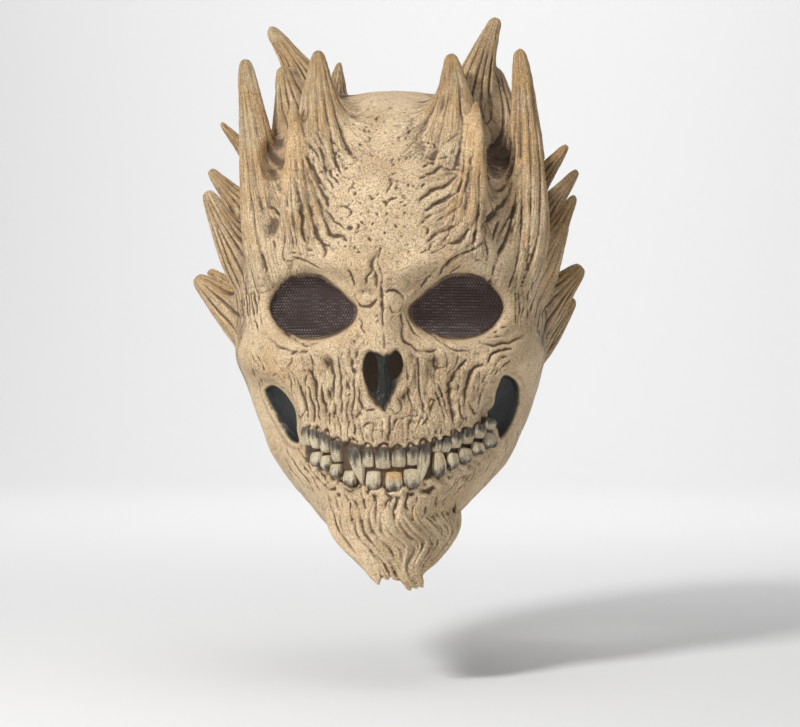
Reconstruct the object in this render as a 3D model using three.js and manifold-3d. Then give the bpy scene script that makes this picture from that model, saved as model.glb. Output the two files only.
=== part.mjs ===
// A horned skull mask, cast in latex as one hollow shell that goes over the whole head.
// Millimetres. The face looks along -Y, +X is on the right of someone who looks at the face, +Z is up.
// The origin is the inside of the crown, where the mask sits on the head.
import * as THREE from "three";
import { mergeVertices } from "three/addons/utils/BufferGeometryUtils.js";
import Module from "manifold-3d";

const wasm = await Module();
wasm.setup();

// Driving sizes
const faceWidth = 198; // across the cheekbones
const crownToJaw = 276; // top of the crown to the underside of the jaw
const faceReach = 108; // from the head's upright axis forward to the bare face
const napeReach = 112; // from the head's upright axis back
const wall = 2.6;
const eyeSpacing = 89; // between the middles of the two eye openings
const eyeDrop = 140; // from the crown down to the middle of the eye openings
const eyeWidth = 56;
const eyeHeight = 42.5;
const meshClearance = 0.35; // between the shell's inside and an eye mesh
const meshThickness = 1;
const meshMargin = 6; // how far an eye mesh runs past its opening
const noseDrop = 185; // from the crown down to the middle of the nose opening
const noseWidth = 28;
const noseHeight = 35;
const septumWidth = 6.5;
const reliefDepth = 10; // the height that the relief table's rise is a share of
const mouthDrop = 241.5; // from the crown down to where the front teeth meet
const mouthHalf = 62; // half of the mouth, measured straight across
const mouthLift = 19; // how much higher the corners are than the middle
const grooveDepth = 0.42; // of the groove that holds the teeth, as a share of reliefDepth
const toothWidth = 12.5;
const toothLength = 15;
const toothDepth = 8;
const toothStand = 2.4; // how far a tooth stands out of the mouth's groove
const hornRadius = 17; // the tall front horns, at the root
const hornWall = 3; // of the larger horns, which are hollow
const lockRadius = 8.5;

// Fineness of the facets
const columns = 50;
const rows = 42;
const lining = 2; // the inside takes each second column and row
const frontDensity = 0.56; // below 1 the columns crowd towards the face
const hornSides = 8;
const hollowSides = 6;

const faceHalf = faceWidth / 2;
const crownTop = wall;
const jawLevel = crownTop - crownToJaw;

// Level sections of the bare head, crown first. drop is a share of crownToJaw, half of faceHalf,
// front of faceReach, back of napeReach and middle of faceReach; round 2 is an ellipse.
const sections = [
  { drop: 0.0, half: 0.0, front: 0.0, back: 0.0, middle: 0.0, round: 2.0 },
  { drop: 0.01, half: 0.25, front: 0.25, back: 0.27, middle: 0.0, round: 2.0 },
  { drop: 0.04, half: 0.48, front: 0.49, back: 0.53, middle: 0.0, round: 2.0 },
  { drop: 0.09, half: 0.67, front: 0.69, back: 0.74, middle: 0.0, round: 2.05 },
  { drop: 0.16, half: 0.8, front: 0.83, back: 0.88, middle: 0.0, round: 2.1 },
  { drop: 0.25, half: 0.89, front: 0.92, back: 0.96, middle: 0.0, round: 2.2 },
  { drop: 0.34, half: 0.94, front: 0.965, back: 1.0, middle: 0.0, round: 2.25 },
  { drop: 0.43, half: 0.965, front: 0.965, back: 1.0, middle: 0.0, round: 2.3 },
  { drop: 0.52, half: 0.975, front: 0.93, back: 0.985, middle: 0.0, round: 2.3 },
  { drop: 0.6, half: 0.98, front: 0.92, back: 0.94, middle: 0.0, round: 2.2 },
  { drop: 0.68, half: 0.955, front: 0.945, back: 0.88, middle: 0.0, round: 2.1 },
  { drop: 0.76, half: 0.885, front: 0.97, back: 0.8, middle: 0.0, round: 2.05 },
  { drop: 0.84, half: 0.775, front: 0.985, back: 0.72, middle: 0.0, round: 2.0 },
  { drop: 0.91, half: 0.67, front: 0.975, back: 0.64, middle: -0.02, round: 1.95 },
  { drop: 0.97, half: 0.53, front: 0.945, back: 0.5, middle: -0.08, round: 1.95 },
  { drop: 1.02, half: 0.39, front: 0.9, back: 0.3, middle: -0.2, round: 2.0 },
  { drop: 1.06, half: 0.24, front: 0.8, back: 0.0, middle: -0.4, round: 2.0 },
  { drop: 1.07, half: 0.0, front: 0.55, back: -0.53, middle: -0.55, round: 2.0 },
];

// Raised and sunken forms of the skull. x and wide are shares of faceHalf, drop and tall of crownToJaw,
// rise of reliefDepth; turn is in degrees, flat over 1 gives a flat floor, both repeats it mirrored, and
// backing is how many times deeper the coarser inside falls.
const relief = [
  {
    what: "glabella", x: 0, drop: 0.44, wide: 0.2, tall: 0.035,
    turn: 0, rise: 0.35, flat: 1, both: false, backing: 1,
  },
  {
    what: "brow", x: 0.36, drop: 0.408, wide: 0.3, tall: 0.026,
    turn: 13, rise: 0.8, flat: 1, both: true, backing: 1,
  },
  {
    what: "outer brow", x: 0.72, drop: 0.43, wide: 0.16, tall: 0.04,
    turn: -35, rise: 0.5, flat: 1, both: true, backing: 1,
  },
  {
    what: "orbit side", x: 0.86, drop: 0.52, wide: 0.1, tall: 0.08,
    turn: 0, rise: 0.4, flat: 1, both: true, backing: 1,
  },
  {
    what: "socket", x: 0.45, drop: 0.505, wide: 0.3, tall: 0.08,
    turn: 0, rise: -0.95, flat: 2, both: true, backing: 1.2,
  },
  {
    what: "nose bridge", x: 0, drop: 0.55, wide: 0.13, tall: 0.085,
    turn: 0, rise: 0.9, flat: 1, both: false, backing: 1,
  },
  {
    what: "lower orbit", x: 0.45, drop: 0.603, wide: 0.3, tall: 0.022,
    turn: 4, rise: 0.4, flat: 1, both: true, backing: 1,
  },
  {
    what: "cheekbone", x: 0.74, drop: 0.635, wide: 0.26, tall: 0.042,
    turn: 14, rise: 0.85, flat: 1, both: true, backing: 1,
  },
  {
    what: "cheek hollow", x: 0.4, drop: 0.695, wide: 0.2, tall: 0.05,
    turn: 20, rise: -0.5, flat: 1, both: true, backing: 1.2,
  },
  {
    what: "upper jaw", x: 0, drop: 0.79, wide: 0.42, tall: 0.05,
    turn: 0, rise: 0.45, flat: 1, both: false, backing: 1,
  },
  {
    what: "left cheek gap", x: -0.69, drop: 0.752, wide: 0.115, tall: 0.085,
    turn: 20, rise: -1, flat: 2, both: false, backing: 1.8,
  },
  {
    what: "right cheek gap", x: 0.735, drop: 0.742, wide: 0.1, tall: 0.085,
    turn: -14, rise: -0.9, flat: 2, both: false, backing: 2,
  },
  {
    what: "jaw angle", x: 0.82, drop: 0.85, wide: 0.14, tall: 0.05,
    turn: 0, rise: 0.35, flat: 1, both: true, backing: 1,
  },
  {
    what: "chin", x: 0, drop: 0.965, wide: 0.28, tall: 0.04,
    turn: 0, rise: 0.7, flat: 1, both: false, backing: 1,
  },
];

// Horns. around is degrees from the face's middle to the root on the skin. tipX is a share of faceHalf,
// tipY of faceReach, drop and tipDrop of crownToJaw, thick of hornRadius, and bows of the horn's length.
const horns = [
  {
    name: "front left", around: -57, drop: 0.34, tipX: -0.906, tipY: -0.35, tipDrop: -0.062,
    thick: 1.25, bowSide: 0.03, bowBack: -0.08, hollow: true,
  },
  {
    name: "front right", around: 60, drop: 0.34, tipX: 0.821, tipY: -0.33, tipDrop: -0.078,
    thick: 1.2, bowSide: 0.1, bowBack: -0.08, hollow: true,
  },
  {
    name: "brow left", around: -31, drop: 0.31, tipX: -0.574, tipY: -0.7, tipDrop: 0.05,
    thick: 1.0, bowSide: -0.04, bowBack: -0.12, hollow: true,
  },
  {
    name: "brow right", around: 31, drop: 0.31, tipX: 0.564, tipY: -0.7, tipDrop: 0.053,
    thick: 1.0, bowSide: 0.08, bowBack: -0.12, hollow: true,
  },
  {
    name: "brow left spur", around: -36, drop: 0.3, tipX: -0.592, tipY: -0.83, tipDrop: 0.142,
    thick: 0.62, bowSide: -0.04, bowBack: -0.1, hollow: false,
  },
  {
    name: "brow right spur", around: 35, drop: 0.28, tipX: 0.607, tipY: -0.83, tipDrop: 0.118,
    thick: 0.62, bowSide: 0.06, bowBack: -0.1, hollow: false,
  },
  {
    name: "crown left", around: -34, drop: 0.13, tipX: -0.473, tipY: -0.2, tipDrop: -0.092,
    thick: 1.15, bowSide: 0.02, bowBack: -0.1, hollow: true,
  },
  {
    name: "crown right", around: 34, drop: 0.13, tipX: 0.383, tipY: -0.2, tipDrop: -0.082,
    thick: 1.15, bowSide: 0.04, bowBack: -0.1, hollow: true,
  },
  {
    name: "crown left spur", around: -105, drop: 0.03, tipX: -0.361, tipY: 0.11, tipDrop: -0.084,
    thick: 0.65, bowSide: 0.0, bowBack: 0.0, hollow: false,
  },
  {
    name: "rear left", around: -78, drop: 0.06, tipX: -0.813, tipY: 0.2, tipDrop: -0.172,
    thick: 1.15, bowSide: 0.2, bowBack: -0.05, hollow: true,
  },
  {
    name: "rear right", around: 80, drop: 0.065, tipX: 0.655, tipY: 0.22, tipDrop: -0.192,
    thick: 1.25, bowSide: -0.12, bowBack: -0.05, hollow: true,
  },
  {
    name: "rear right spur", around: 80, drop: 0.12, tipX: 0.66, tipY: 0.2, tipDrop: -0.07,
    thick: 1.1, bowSide: 0.06, bowBack: 0.0, hollow: false,
  },
  {
    name: "side left top", around: -62, drop: 0.12, tipX: -0.729, tipY: -0.06, tipDrop: -0.064,
    thick: 1.05, bowSide: 0.06, bowBack: 0.0, hollow: false,
  },
  {
    name: "temple left 1", around: -102, drop: 0.21, tipX: -1.144, tipY: 0.17, tipDrop: 0.06,
    thick: 0.75, bowSide: 0.06, bowBack: 0.0, hollow: false,
  },
  {
    name: "temple right 1", around: 100, drop: 0.26, tipX: 1.118, tipY: 0.14, tipDrop: 0.126,
    thick: 0.95, bowSide: -0.1, bowBack: 0.0, hollow: false,
  },
  {
    name: "temple left 2", around: -88, drop: 0.32, tipX: -1.218, tipY: 0.05, tipDrop: 0.18,
    thick: 1.0, bowSide: 0.1, bowBack: 0.0, hollow: false,
  },
  {
    name: "temple right 2", around: 92, drop: 0.34, tipX: 1.2, tipY: 0.02, tipDrop: 0.186,
    thick: 1.05, bowSide: -0.12, bowBack: 0.0, hollow: false,
  },
  {
    name: "temple left 3", around: -76, drop: 0.42, tipX: -1.202, tipY: -0.17, tipDrop: 0.24,
    thick: 1.15, bowSide: 0.0, bowBack: 0.0, hollow: false,
  },
  {
    name: "temple right 3", around: 84, drop: 0.41, tipX: 1.177, tipY: -0.13, tipDrop: 0.25,
    thick: 1.05, bowSide: -0.04, bowBack: 0.0, hollow: false,
  },
  {
    name: "temple right 4", around: 72, drop: 0.45, tipX: 1.122, tipY: -0.3, tipDrop: 0.31,
    thick: 1.05, bowSide: 0.0, bowBack: 0.0, hollow: false,
  },
  {
    name: "cheek left", around: -84, drop: 0.55, tipX: -1.31, tipY: -0.07, tipDrop: 0.43,
    thick: 1.2, bowSide: 0.12, bowBack: 0.0, hollow: false,
  },
  {
    name: "cheek right", around: 86, drop: 0.53, tipX: 1.244, tipY: -0.04, tipDrop: 0.406,
    thick: 1.2, bowSide: -0.1, bowBack: 0.0, hollow: false,
  },
  {
    name: "cheek left spur", around: -98, drop: 0.51, tipX: -1.274, tipY: 0.18, tipDrop: 0.408,
    thick: 0.85, bowSide: 0.1, bowBack: 0.0, hollow: false,
  },
  {
    name: "cheek right spur", around: 98, drop: 0.59, tipX: 1.201, tipY: 0.07, tipDrop: 0.48,
    thick: 0.9, bowSide: -0.06, bowBack: 0.0, hollow: false,
  },
];

// A horn from its foot, which hides in the head, to its tip: at is a share of the way, wide of its radius.
const hornRings = [
  { at: 0, wide: 0.45 },
  { at: 0.16, wide: 1.0 },
  { at: 0.36, wide: 0.94 },
  { at: 0.56, wide: 0.73 },
  { at: 0.8, wide: 0.45 },
  { at: 0.96, wide: 0.24 },
  { at: 1, wide: 0 },
];
const hollowRings = [
  { at: 0, wide: 0.45 },
  { at: 0.16, wide: 1.0 },
  { at: 0.36, wide: 0.86 },
  { at: 0.6, wide: 0.5 },
  { at: 0.72, wide: 0 },
];
const hornFoot = 0.34; // how far the foot runs below the root, as a share of the length
const hornSink = 0.85; // how deep the foot lies in the head, as a share of the radius
const hornFlat = 0.85; // a horn is flatter than it is wide

// Teeth, from left to right. x and wide are shares of mouthHalf and toothWidth, tall of toothLength;
// a fang's point is narrow, and lean tips it sideways in degrees.
const upperTeeth = [
  { x: -0.77, wide: 0.5, tall: 0.95, point: 0.8, lean: 2 },
  { x: -0.66, wide: 0.5, tall: 0.98, point: 0.8, lean: 2 },
  { x: -0.53, wide: 0.58, tall: 1.05, point: 0.8, lean: 2 },
  { x: -0.4, wide: 0.58, tall: 1.1, point: 0.8, lean: 3 },
  { x: -0.2, wide: 0.82, tall: 1.85, point: 0.25, lean: 12 },
  { x: -0.07, wide: 0.72, tall: 1.0, point: 0.85, lean: 2 },
  { x: 0.08, wide: 0.95, tall: 1.05, point: 0.85, lean: 0 },
  { x: 0.26, wide: 0.95, tall: 1.0, point: 0.85, lean: 0 },
  { x: 0.4, wide: 0.72, tall: 0.98, point: 0.85, lean: -2 },
  { x: 0.55, wide: 0.82, tall: 1.8, point: 0.25, lean: -12 },
  { x: 0.7, wide: 0.6, tall: 0.85, point: 0.8, lean: -4 },
  { x: 0.83, wide: 0.68, tall: 0.9, point: 0.8, lean: -4 },
  { x: 0.95, wide: 0.62, tall: 0.85, point: 0.8, lean: -6 },
  { x: 1.07, wide: 0.62, tall: 0.8, point: 0.8, lean: -8 },
];
const lowerTeeth = [
  { x: -0.64, wide: 0.55, tall: 0.62, point: 0.9, lean: -4 },
  { x: -0.5, wide: 0.55, tall: 0.68, point: 0.9, lean: -4 },
  { x: -0.36, wide: 0.62, tall: 0.75, point: 0.9, lean: -4 },
  { x: -0.01, wide: 0.85, tall: 0.92, point: 0.75, lean: 0 },
  { x: 0.18, wide: 0.9, tall: 0.95, point: 0.75, lean: 0 },
  { x: 0.37, wide: 0.85, tall: 0.92, point: 0.75, lean: 0 },
  { x: 0.68, wide: 0.8, tall: 1.45, point: 0.45, lean: -6 },
  { x: 0.86, wide: 0.7, tall: 0.75, point: 0.9, lean: 6 },
  { x: 1.0, wide: 0.7, tall: 0.65, point: 0.9, lean: 8 },
  { x: 1.12, wide: 0.66, tall: 0.6, point: 0.9, lean: 10 },
];

// Locks of the beard, the four stout ones behind first. x and tipX are shares of faceHalf, drop and
// tipDrop of crownToJaw, thick of lockRadius; bow bends a lock by a share of its length.
const beard = [
  { x: -0.19, drop: 0.947, tipX: -0.091, tipDrop: 1.066, thick: 1.9, bow: -0.04 },
  { x: 0.02, drop: 0.946, tipX: 0.092, tipDrop: 1.092, thick: 2.1, bow: -0.04 },
  { x: 0.23, drop: 0.946, tipX: 0.25, tipDrop: 1.066, thick: 1.9, bow: 0.04 },
  { x: 0.38, drop: 0.93, tipX: 0.396, tipDrop: 1.018, thick: 1.6, bow: 0.04 },
  { x: -0.37, drop: 0.936, tipX: -0.317, tipDrop: 1.017, thick: 0.8, bow: -0.08 },
  { x: -0.32, drop: 0.936, tipX: -0.262, tipDrop: 1.043, thick: 0.9, bow: -0.1 },
  { x: -0.255, drop: 0.936, tipX: -0.176, tipDrop: 1.067, thick: 1.0, bow: -0.1 },
  { x: -0.19, drop: 0.936, tipX: -0.097, tipDrop: 1.097, thick: 1.0, bow: -0.12 },
  { x: -0.115, drop: 0.936, tipX: -0.017, tipDrop: 1.123, thick: 1.15, bow: -0.14 },
  { x: -0.03, drop: 0.935, tipX: 0.062, tipDrop: 1.101, thick: 1.1, bow: -0.14 },
  { x: 0.056, drop: 0.935, tipX: 0.159, tipDrop: 1.142, thick: 1.25, bow: -0.06 },
  { x: 0.13, drop: 0.935, tipX: 0.257, tipDrop: 1.135, thick: 1.2, bow: 0.02 },
  { x: 0.214, drop: 0.935, tipX: 0.269, tipDrop: 1.085, thick: 1.1, bow: 0.1 },
  { x: 0.3, drop: 0.935, tipX: 0.305, tipDrop: 1.068, thick: 1.1, bow: 0.1 },
  { x: 0.37, drop: 0.935, tipX: 0.384, tipDrop: 1.048, thick: 1.0, bow: 0.1 },
  { x: 0.445, drop: 0.93, tipX: 0.439, tipDrop: 1.024, thick: 0.9, bow: 0.1 },
];
const lockRings = [
  { at: 0, wide: 0.6 },
  { at: 0.25, wide: 1.0 },
  { at: 0.55, wide: 0.92 },
  { at: 0.82, wide: 0.55 },
  { at: 1, wide: 0 },
];
const lockSides = 7;
const lockFlat = 0.7; // a lock is flatter than it is wide
const lockRise = 0.35; // how far its middle starts behind the skin, as a share of its radius

// The lower rim, seen from the side: y as a share of napeReach, drop of crownToJaw.
const rimLine = [
  { y: -0.62, drop: 1.03 },
  { y: -0.45, drop: 0.955 },
  { y: -0.25, drop: 0.89 },
  { y: 0.0, drop: 0.835 },
  { y: 0.3, drop: 0.8 },
  { y: 0.65, drop: 0.775 },
  { y: 1.3, drop: 0.765 },
];

// The eye opening on the right, round from its inner corner, as shares of half its width and height.
const eyeOutline = [
  [-1, 0.07], [-0.6, 0.64], [-0.09, 0.95], [0.48, 0.93], [0.92, 0.42],
  [0.95, -0.3], [0.6, -0.84], [0, -0.97], [-0.55, -0.66],
];

// One nostril on the right, round from the top of the septum, as shares of noseWidth / 2 and noseHeight / 2.
const nostrilOutline = [[0.55, 0.95], [0.98, 0.5], [0.9, -0.15], [0.55, -0.72]];

// Colours seen on the mask
const latexColour = 0xcbb48c;
const meshColour = 0x33262a;

// The value of every column of the section table at a place between two of its rows.
function sectionAt(place) {
  const last = sections.length - 1;
  const i = Math.min(Math.floor(place), last - 1);
  const t = place - i;
  const near = [-1, 0, 1, 2].map((k) => sections[THREE.MathUtils.clamp(i + k, 0, last)]);
  const value = (column) => {
    const [a, b, c, d] = near.map((row) => row[column]);
    return b + (t * (c - a + t * (2 * a - 5 * b + 4 * c - d + t * (3 * (b - c) + d - a)))) / 2;
  };
  return {
    z: crownTop - value("drop") * crownToJaw,
    half: Math.max(value("half"), 0) * faceHalf,
    middle: value("middle") * faceReach,
    front: value("front") * faceReach,
    back: value("back") * napeReach,
    power: 2 / value("round"),
  };
}

// The place in the section table whose level is z.
function placeOf(z) {
  let low = 0;
  let high = sections.length - 1;
  for (let i = 0; i < 30; i++) {
    const place = (low + high) / 2;
    if (sectionAt(place).z > z) low = place;
    else high = place;
  }
  return (low + high) / 2;
}

// How far the skull's relief stands out at x, z of the front view.
function reliefAt(x, z, inside) {
  let rise = 0;
  for (const form of relief) {
    for (const side of form.both ? [1, -1] : [1]) {
      const turn = THREE.MathUtils.degToRad(form.turn) * side;
      const dx = x - side * form.x * faceHalf;
      const dz = z - (crownTop - form.drop * crownToJaw);
      const across = (dx * Math.cos(turn) + dz * Math.sin(turn)) / (form.wide * faceHalf);
      const along = (dz * Math.cos(turn) - dx * Math.sin(turn)) / (form.tall * crownToJaw);
      const share = Math.exp(-((across ** 2 + along ** 2) ** form.flat));
      rise += form.rise * share * (inside ? form.backing : 1);
    }
  }
  const bite = mouthLineAt(x);
  const mouth = ((z - bite) / (toothLength * 0.95)) ** 4 + (x / (mouthHalf * 1.12)) ** 8;
  return reliefDepth * (rise - grooveDepth * Math.exp(-mouth));
}

// Where the teeth meet, at x of the front view.
function mouthLineAt(x) {
  return crownTop - mouthDrop + mouthLift * (x / mouthHalf) ** 2;
}

// A point of the head, inset from the outer skin, at an angle round from the face's middle.
function headPoint(place, angle, inset) {
  const s = sectionAt(place);
  const sin = Math.sin(angle);
  const cos = Math.cos(angle);
  const reach = cos > 0 ? s.front + s.middle : s.back - s.middle;
  const x = s.half * Math.sign(sin) * Math.abs(sin) ** s.power;
  const y = s.middle - reach * Math.sign(cos) * Math.abs(cos) ** s.power;
  const facing = THREE.MathUtils.smoothstep(cos, -0.1, 0.3);
  const out = facing * reliefAt(x, s.z, inset > 0) - inset;
  const flatRun = new THREE.Vector2(sin * Math.max(reach, 1), -cos * Math.max(s.half, 1)).normalize();
  const near = sectionAt(Math.max(place - 0.05, 0));
  const far = sectionAt(Math.min(place + 0.05, sections.length - 1));
  const fall = Math.max(near.z - far.z, 1e-6);
  const grow = (far.half - near.half + (far.front - near.front + far.back - near.back) / 2) / 2;
  const tilt = Math.atan2(grow, fall);
  return new THREE.Vector3(
    x + out * flatRun.x * Math.cos(tilt),
    y + out * flatRun.y * Math.cos(tilt),
    s.z + out * Math.sin(tilt),
  );
}

// The head as one closed surface, inset from the outer skin.
function headSolid(inset, step) {
  const geometry = new THREE.SphereGeometry(1, columns / step, rows / step);
  const uv = geometry.attributes.uv;
  const position = geometry.attributes.position;
  const last = sections.length - 1;
  for (let i = 0; i < position.count; i++) {
    const round = Math.round((uv.getX(i) * columns) / step) / (columns / step);
    const turn = round * 2 - 1;
    const angle = Math.PI * turn * (frontDensity + (1 - frontDensity) * turn * turn);
    const place = (1 - uv.getY(i)) * last;
    const pole = place < 1e-6 || place > last - 1e-6;
    const point = headPoint(place, pole ? 0 : angle, pole ? 0 : inset);
    if (pole) point.set(0, sectionAt(place).middle, point.z + (place < 1 ? -inset : inset));
    position.setXYZ(i, point.x, point.y, point.z);
  }
  return solidFrom(geometry);
}

// A closed three.js geometry as a solid.
function solidFrom(geometry) {
  const bare = geometry.clone();
  for (const name of Object.keys(bare.attributes)) {
    if (name !== "position") bare.deleteAttribute(name);
  }
  const merged = mergeVertices(bare, 1e-3);
  const made = new wasm.Manifold(
    new wasm.Mesh({
      numProp: 3,
      vertProperties: new Float32Array(merged.attributes.position.array),
      triVerts: new Uint32Array(merged.index.array),
    }),
  );
  if (made.volume() > 0) return made;
  const turned = merged.index.array;
  for (let i = 0; i < turned.length; i += 3) [turned[i], turned[i + 1]] = [turned[i + 1], turned[i]];
  return solidFrom(merged);
}

// A tapering, bent cone: a horn or a lock of the beard. less thins it all round.
function bentCone(path, radius, rings, sides, flat, less) {
  const steps = rings.length - 1;
  const geometry = new THREE.ConeGeometry(1, 1, sides, steps);
  const position = geometry.attributes.position;
  const frames = path.computeFrenetFrames(steps);
  for (let i = 0; i < position.count; i++) {
    const step = Math.round((position.getY(i) + 0.5) * steps);
    const ring = rings[step];
    const share = 1 - step / steps || 1;
    const wide = Math.max(radius * ring.wide - (ring.wide ? less : 0), 0);
    const point = path
      .getPoint(ring.at)
      .addScaledVector(frames.normals[step], (position.getX(i) / share) * wide)
      .addScaledVector(frames.binormals[step], (position.getZ(i) / share) * wide * flat);
    position.setXYZ(i, point.x, point.y, point.z);
  }
  return solidFrom(geometry);
}

// The curve of a horn from its foot inside the head, past its root on the skin, to its tip.
function hornPath(horn) {
  const angle = THREE.MathUtils.degToRad(horn.around);
  const place = placeOf(crownTop - horn.drop * crownToJaw);
  const root = headPoint(place, angle, 0);
  const tipLevel = crownTop - horn.tipDrop * crownToJaw;
  const tip = new THREE.Vector3(horn.tipX * faceHalf, horn.tipY * faceReach, tipLevel);
  const inward = headPoint(place, angle, faceReach / 10).sub(root).normalize();
  const aim = tip.clone().sub(root);
  const length = aim.length();
  const foot = root
    .clone()
    .addScaledVector(aim, -hornFoot)
    .addScaledVector(inward, hornSink * horn.thick * hornRadius);
  const bend = root.clone().add(new THREE.Vector3(horn.bowSide, horn.bowBack, 0).multiplyScalar(length));
  return new THREE.QuadraticBezierCurve3(foot, bend, tip);
}

function hornSolid(horn) {
  return bentCone(hornPath(horn), horn.thick * hornRadius, hornRings, hornSides, hornFlat, 0);
}

function hornHollow(horn) {
  return bentCone(hornPath(horn), horn.thick * hornRadius, hollowRings, hollowSides, hornFlat, hornWall);
}

function lockSolid(lock) {
  const x = lock.x * faceHalf;
  const z = crownTop - lock.drop * crownToJaw;
  const radius = lock.thick * lockRadius;
  const start = new THREE.Vector3(x, skinAt(x, z) + radius * lockRise, z + lockRadius);
  const tip = new THREE.Vector3(lock.tipX * faceHalf, start.y, crownTop - lock.tipDrop * crownToJaw);
  const bend = start.clone().lerp(tip, 0.5);
  bend.x += lock.bow * start.distanceTo(tip) * 2;
  const path = new THREE.QuadraticBezierCurve3(start, bend, tip);
  return bentCone(path, radius, lockRings, lockSides, lockFlat, 0);
}

// The y of the outer skin at x, z of the front view.
function skinAt(x, z) {
  const place = placeOf(z);
  const s = sectionAt(place);
  const share = THREE.MathUtils.clamp(Math.abs(x) / s.half, 0, 1);
  return headPoint(place, Math.sign(x) * Math.asin(share ** (1 / s.power)), 0).y;
}

// One tooth, from the edge of the gum to its biting end. upward is true in the lower jaw.
function toothSolid(tooth, upward) {
  const x = tooth.x * mouthHalf;
  const length = tooth.tall * toothLength;
  const width = tooth.wide * toothWidth;
  const bite = mouthLineAt(x);
  const gum = bite + (upward ? -0.95 : 0.95) * toothLength;
  const geometry = new THREE.BoxGeometry(width, toothDepth, length);
  const position = geometry.attributes.position;
  const skin = skinAt(x, bite);
  const near = toothWidth / 4;
  const slope = (skinAt(x + near, bite) - skinAt(x - near, bite)) / (2 * near);
  for (let i = 0; i < position.count; i++) {
    const end = upward ? position.getZ(i) > 0 : position.getZ(i) < 0;
    const front = position.getY(i) < 0;
    const narrow = (end ? tooth.point : 0.85) * (front ? 0.8 : 1);
    position.setX(i, position.getX(i) * narrow);
    if (end && front) position.setY(i, position.getY(i) * 0.7);
  }
  geometry.rotateY(THREE.MathUtils.degToRad(-tooth.lean) * (upward ? -1 : 1));
  geometry.rotateZ(Math.atan(slope));
  const middle = gum + (upward ? 0.5 : -0.5) * length;
  geometry.translate(x, skin - toothStand + toothDepth / 2, middle);
  return solidFrom(geometry);
}

// A closed outline in the front view, made solid from far in front of the face to the head's axis.
function frontCutter(points, x, z, halfWidth, halfHeight, mirror, pad) {
  const outline = points.map(
    ([px, pz]) => new THREE.Vector2(mirror * (halfWidth + pad) * px, (halfHeight + pad) * pz),
  );
  const shape = new THREE.Shape();
  shape.moveTo(outline[0].x, outline[0].y);
  shape.splineThru([...outline.slice(1), outline[0]]);
  const geometry = new THREE.ExtrudeGeometry(shape, {
    depth: faceReach * 1.5,
    bevelEnabled: false,
    curveSegments: 2,
  });
  geometry.rotateX(Math.PI / 2);
  geometry.translate(x, -faceReach * 0.1, z);
  return solidFrom(geometry);
}

function eyeCutter(side, pad) {
  const x = (side * eyeSpacing) / 2;
  return frontCutter(eyeOutline, x, crownTop - eyeDrop, eyeWidth / 2, eyeHeight / 2, side, pad);
}

function nostrilCutter(side) {
  const septum = septumWidth / noseWidth;
  const outline = [[septum, 0.62], ...nostrilOutline, [septum, -0.95]];
  return frontCutter(outline, 0, crownTop - noseDrop, noseWidth / 2, noseHeight / 2, side, 0);
}

// All that lies below the lower rim, seen from the side.
function belowRim() {
  const points = rimLine.map((p) => new THREE.Vector2(p.y * napeReach, crownTop - p.drop * crownToJaw));
  const deep = jawLevel - crownToJaw;
  const shape = new THREE.Shape([
    new THREE.Vector2(points[0].x, deep),
    ...points,
    new THREE.Vector2(points[points.length - 1].x, deep),
  ]);
  const geometry = new THREE.ExtrudeGeometry(shape, { depth: faceWidth * 2, bevelEnabled: false });
  geometry.translate(0, 0, -faceWidth);
  const sideOn = new THREE.Matrix4().makeBasis(
    new THREE.Vector3(0, 1, 0),
    new THREE.Vector3(0, 0, 1),
    new THREE.Vector3(1, 0, 0),
  );
  return solidFrom(geometry.applyMatrix4(sideOn));
}

function shellSolid() {
  const growths = [
    ...horns.map(hornSolid),
    ...beard.map(lockSolid),
    ...upperTeeth.map((tooth) => toothSolid(tooth, false)),
    ...lowerTeeth.map((tooth) => toothSolid(tooth, true)),
  ];
  const openings = [-1, 1].flatMap((side) => [eyeCutter(side, 0), nostrilCutter(side)]);
  const hollows = horns.filter((horn) => horn.hollow).map(hornHollow);
  const head = headSolid(0, 1).subtract(belowRim());
  const full = wasm.Manifold.union([head, ...growths]);
  return largest(full.subtract(wasm.Manifold.union([headSolid(wall, lining), ...hollows, ...openings])));
}

// The biggest body of a solid, without the crumbs that a cut can leave.
function largest(solid) {
  return solid.decompose().sort((a, b) => b.volume() - a.volume())[0];
}

// A sheet of mesh that follows the shell's inside across one eye opening.
function eyeMeshSolid(side) {
  const outer = headSolid(wall + meshClearance, lining);
  const inner = headSolid(wall + meshClearance + meshThickness, lining);
  return largest(outer.subtract(inner).intersect(eyeCutter(side, meshMargin)));
}

function meshOf(name, solid, colour, roughness) {
  const made = solid.getMesh();
  const geometry = new THREE.BufferGeometry();
  geometry.setAttribute("position", new THREE.BufferAttribute(made.vertProperties, made.numProp));
  geometry.setIndex(new THREE.BufferAttribute(made.triVerts, 1));
  geometry.computeVertexNormals();
  const material = new THREE.MeshStandardMaterial({ color: colour, roughness, metalness: 0 });
  const mesh = new THREE.Mesh(geometry, material);
  mesh.name = name;
  return mesh;
}

const mask = new THREE.Group();
mask.name = "skull_mask";
mask.add(meshOf("mask_shell", shellSolid(), latexColour, 0.6));
mask.add(meshOf("eye_mesh_left", eyeMeshSolid(-1), meshColour, 0.85));
mask.add(meshOf("eye_mesh_right", eyeMeshSolid(1), meshColour, 0.85));

export default mask;
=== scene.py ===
"""A horned skull mask of painted latex: its cast skin, beard, teeth and eye nets, and a plain studio.

Metres. The face looks along -Y, +X is on the right of someone who looks at the face, +Z is up, and the
origin is the inside of the crown. Tables of the face are in millimetres of the front view, as (x, z).
"""

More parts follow.
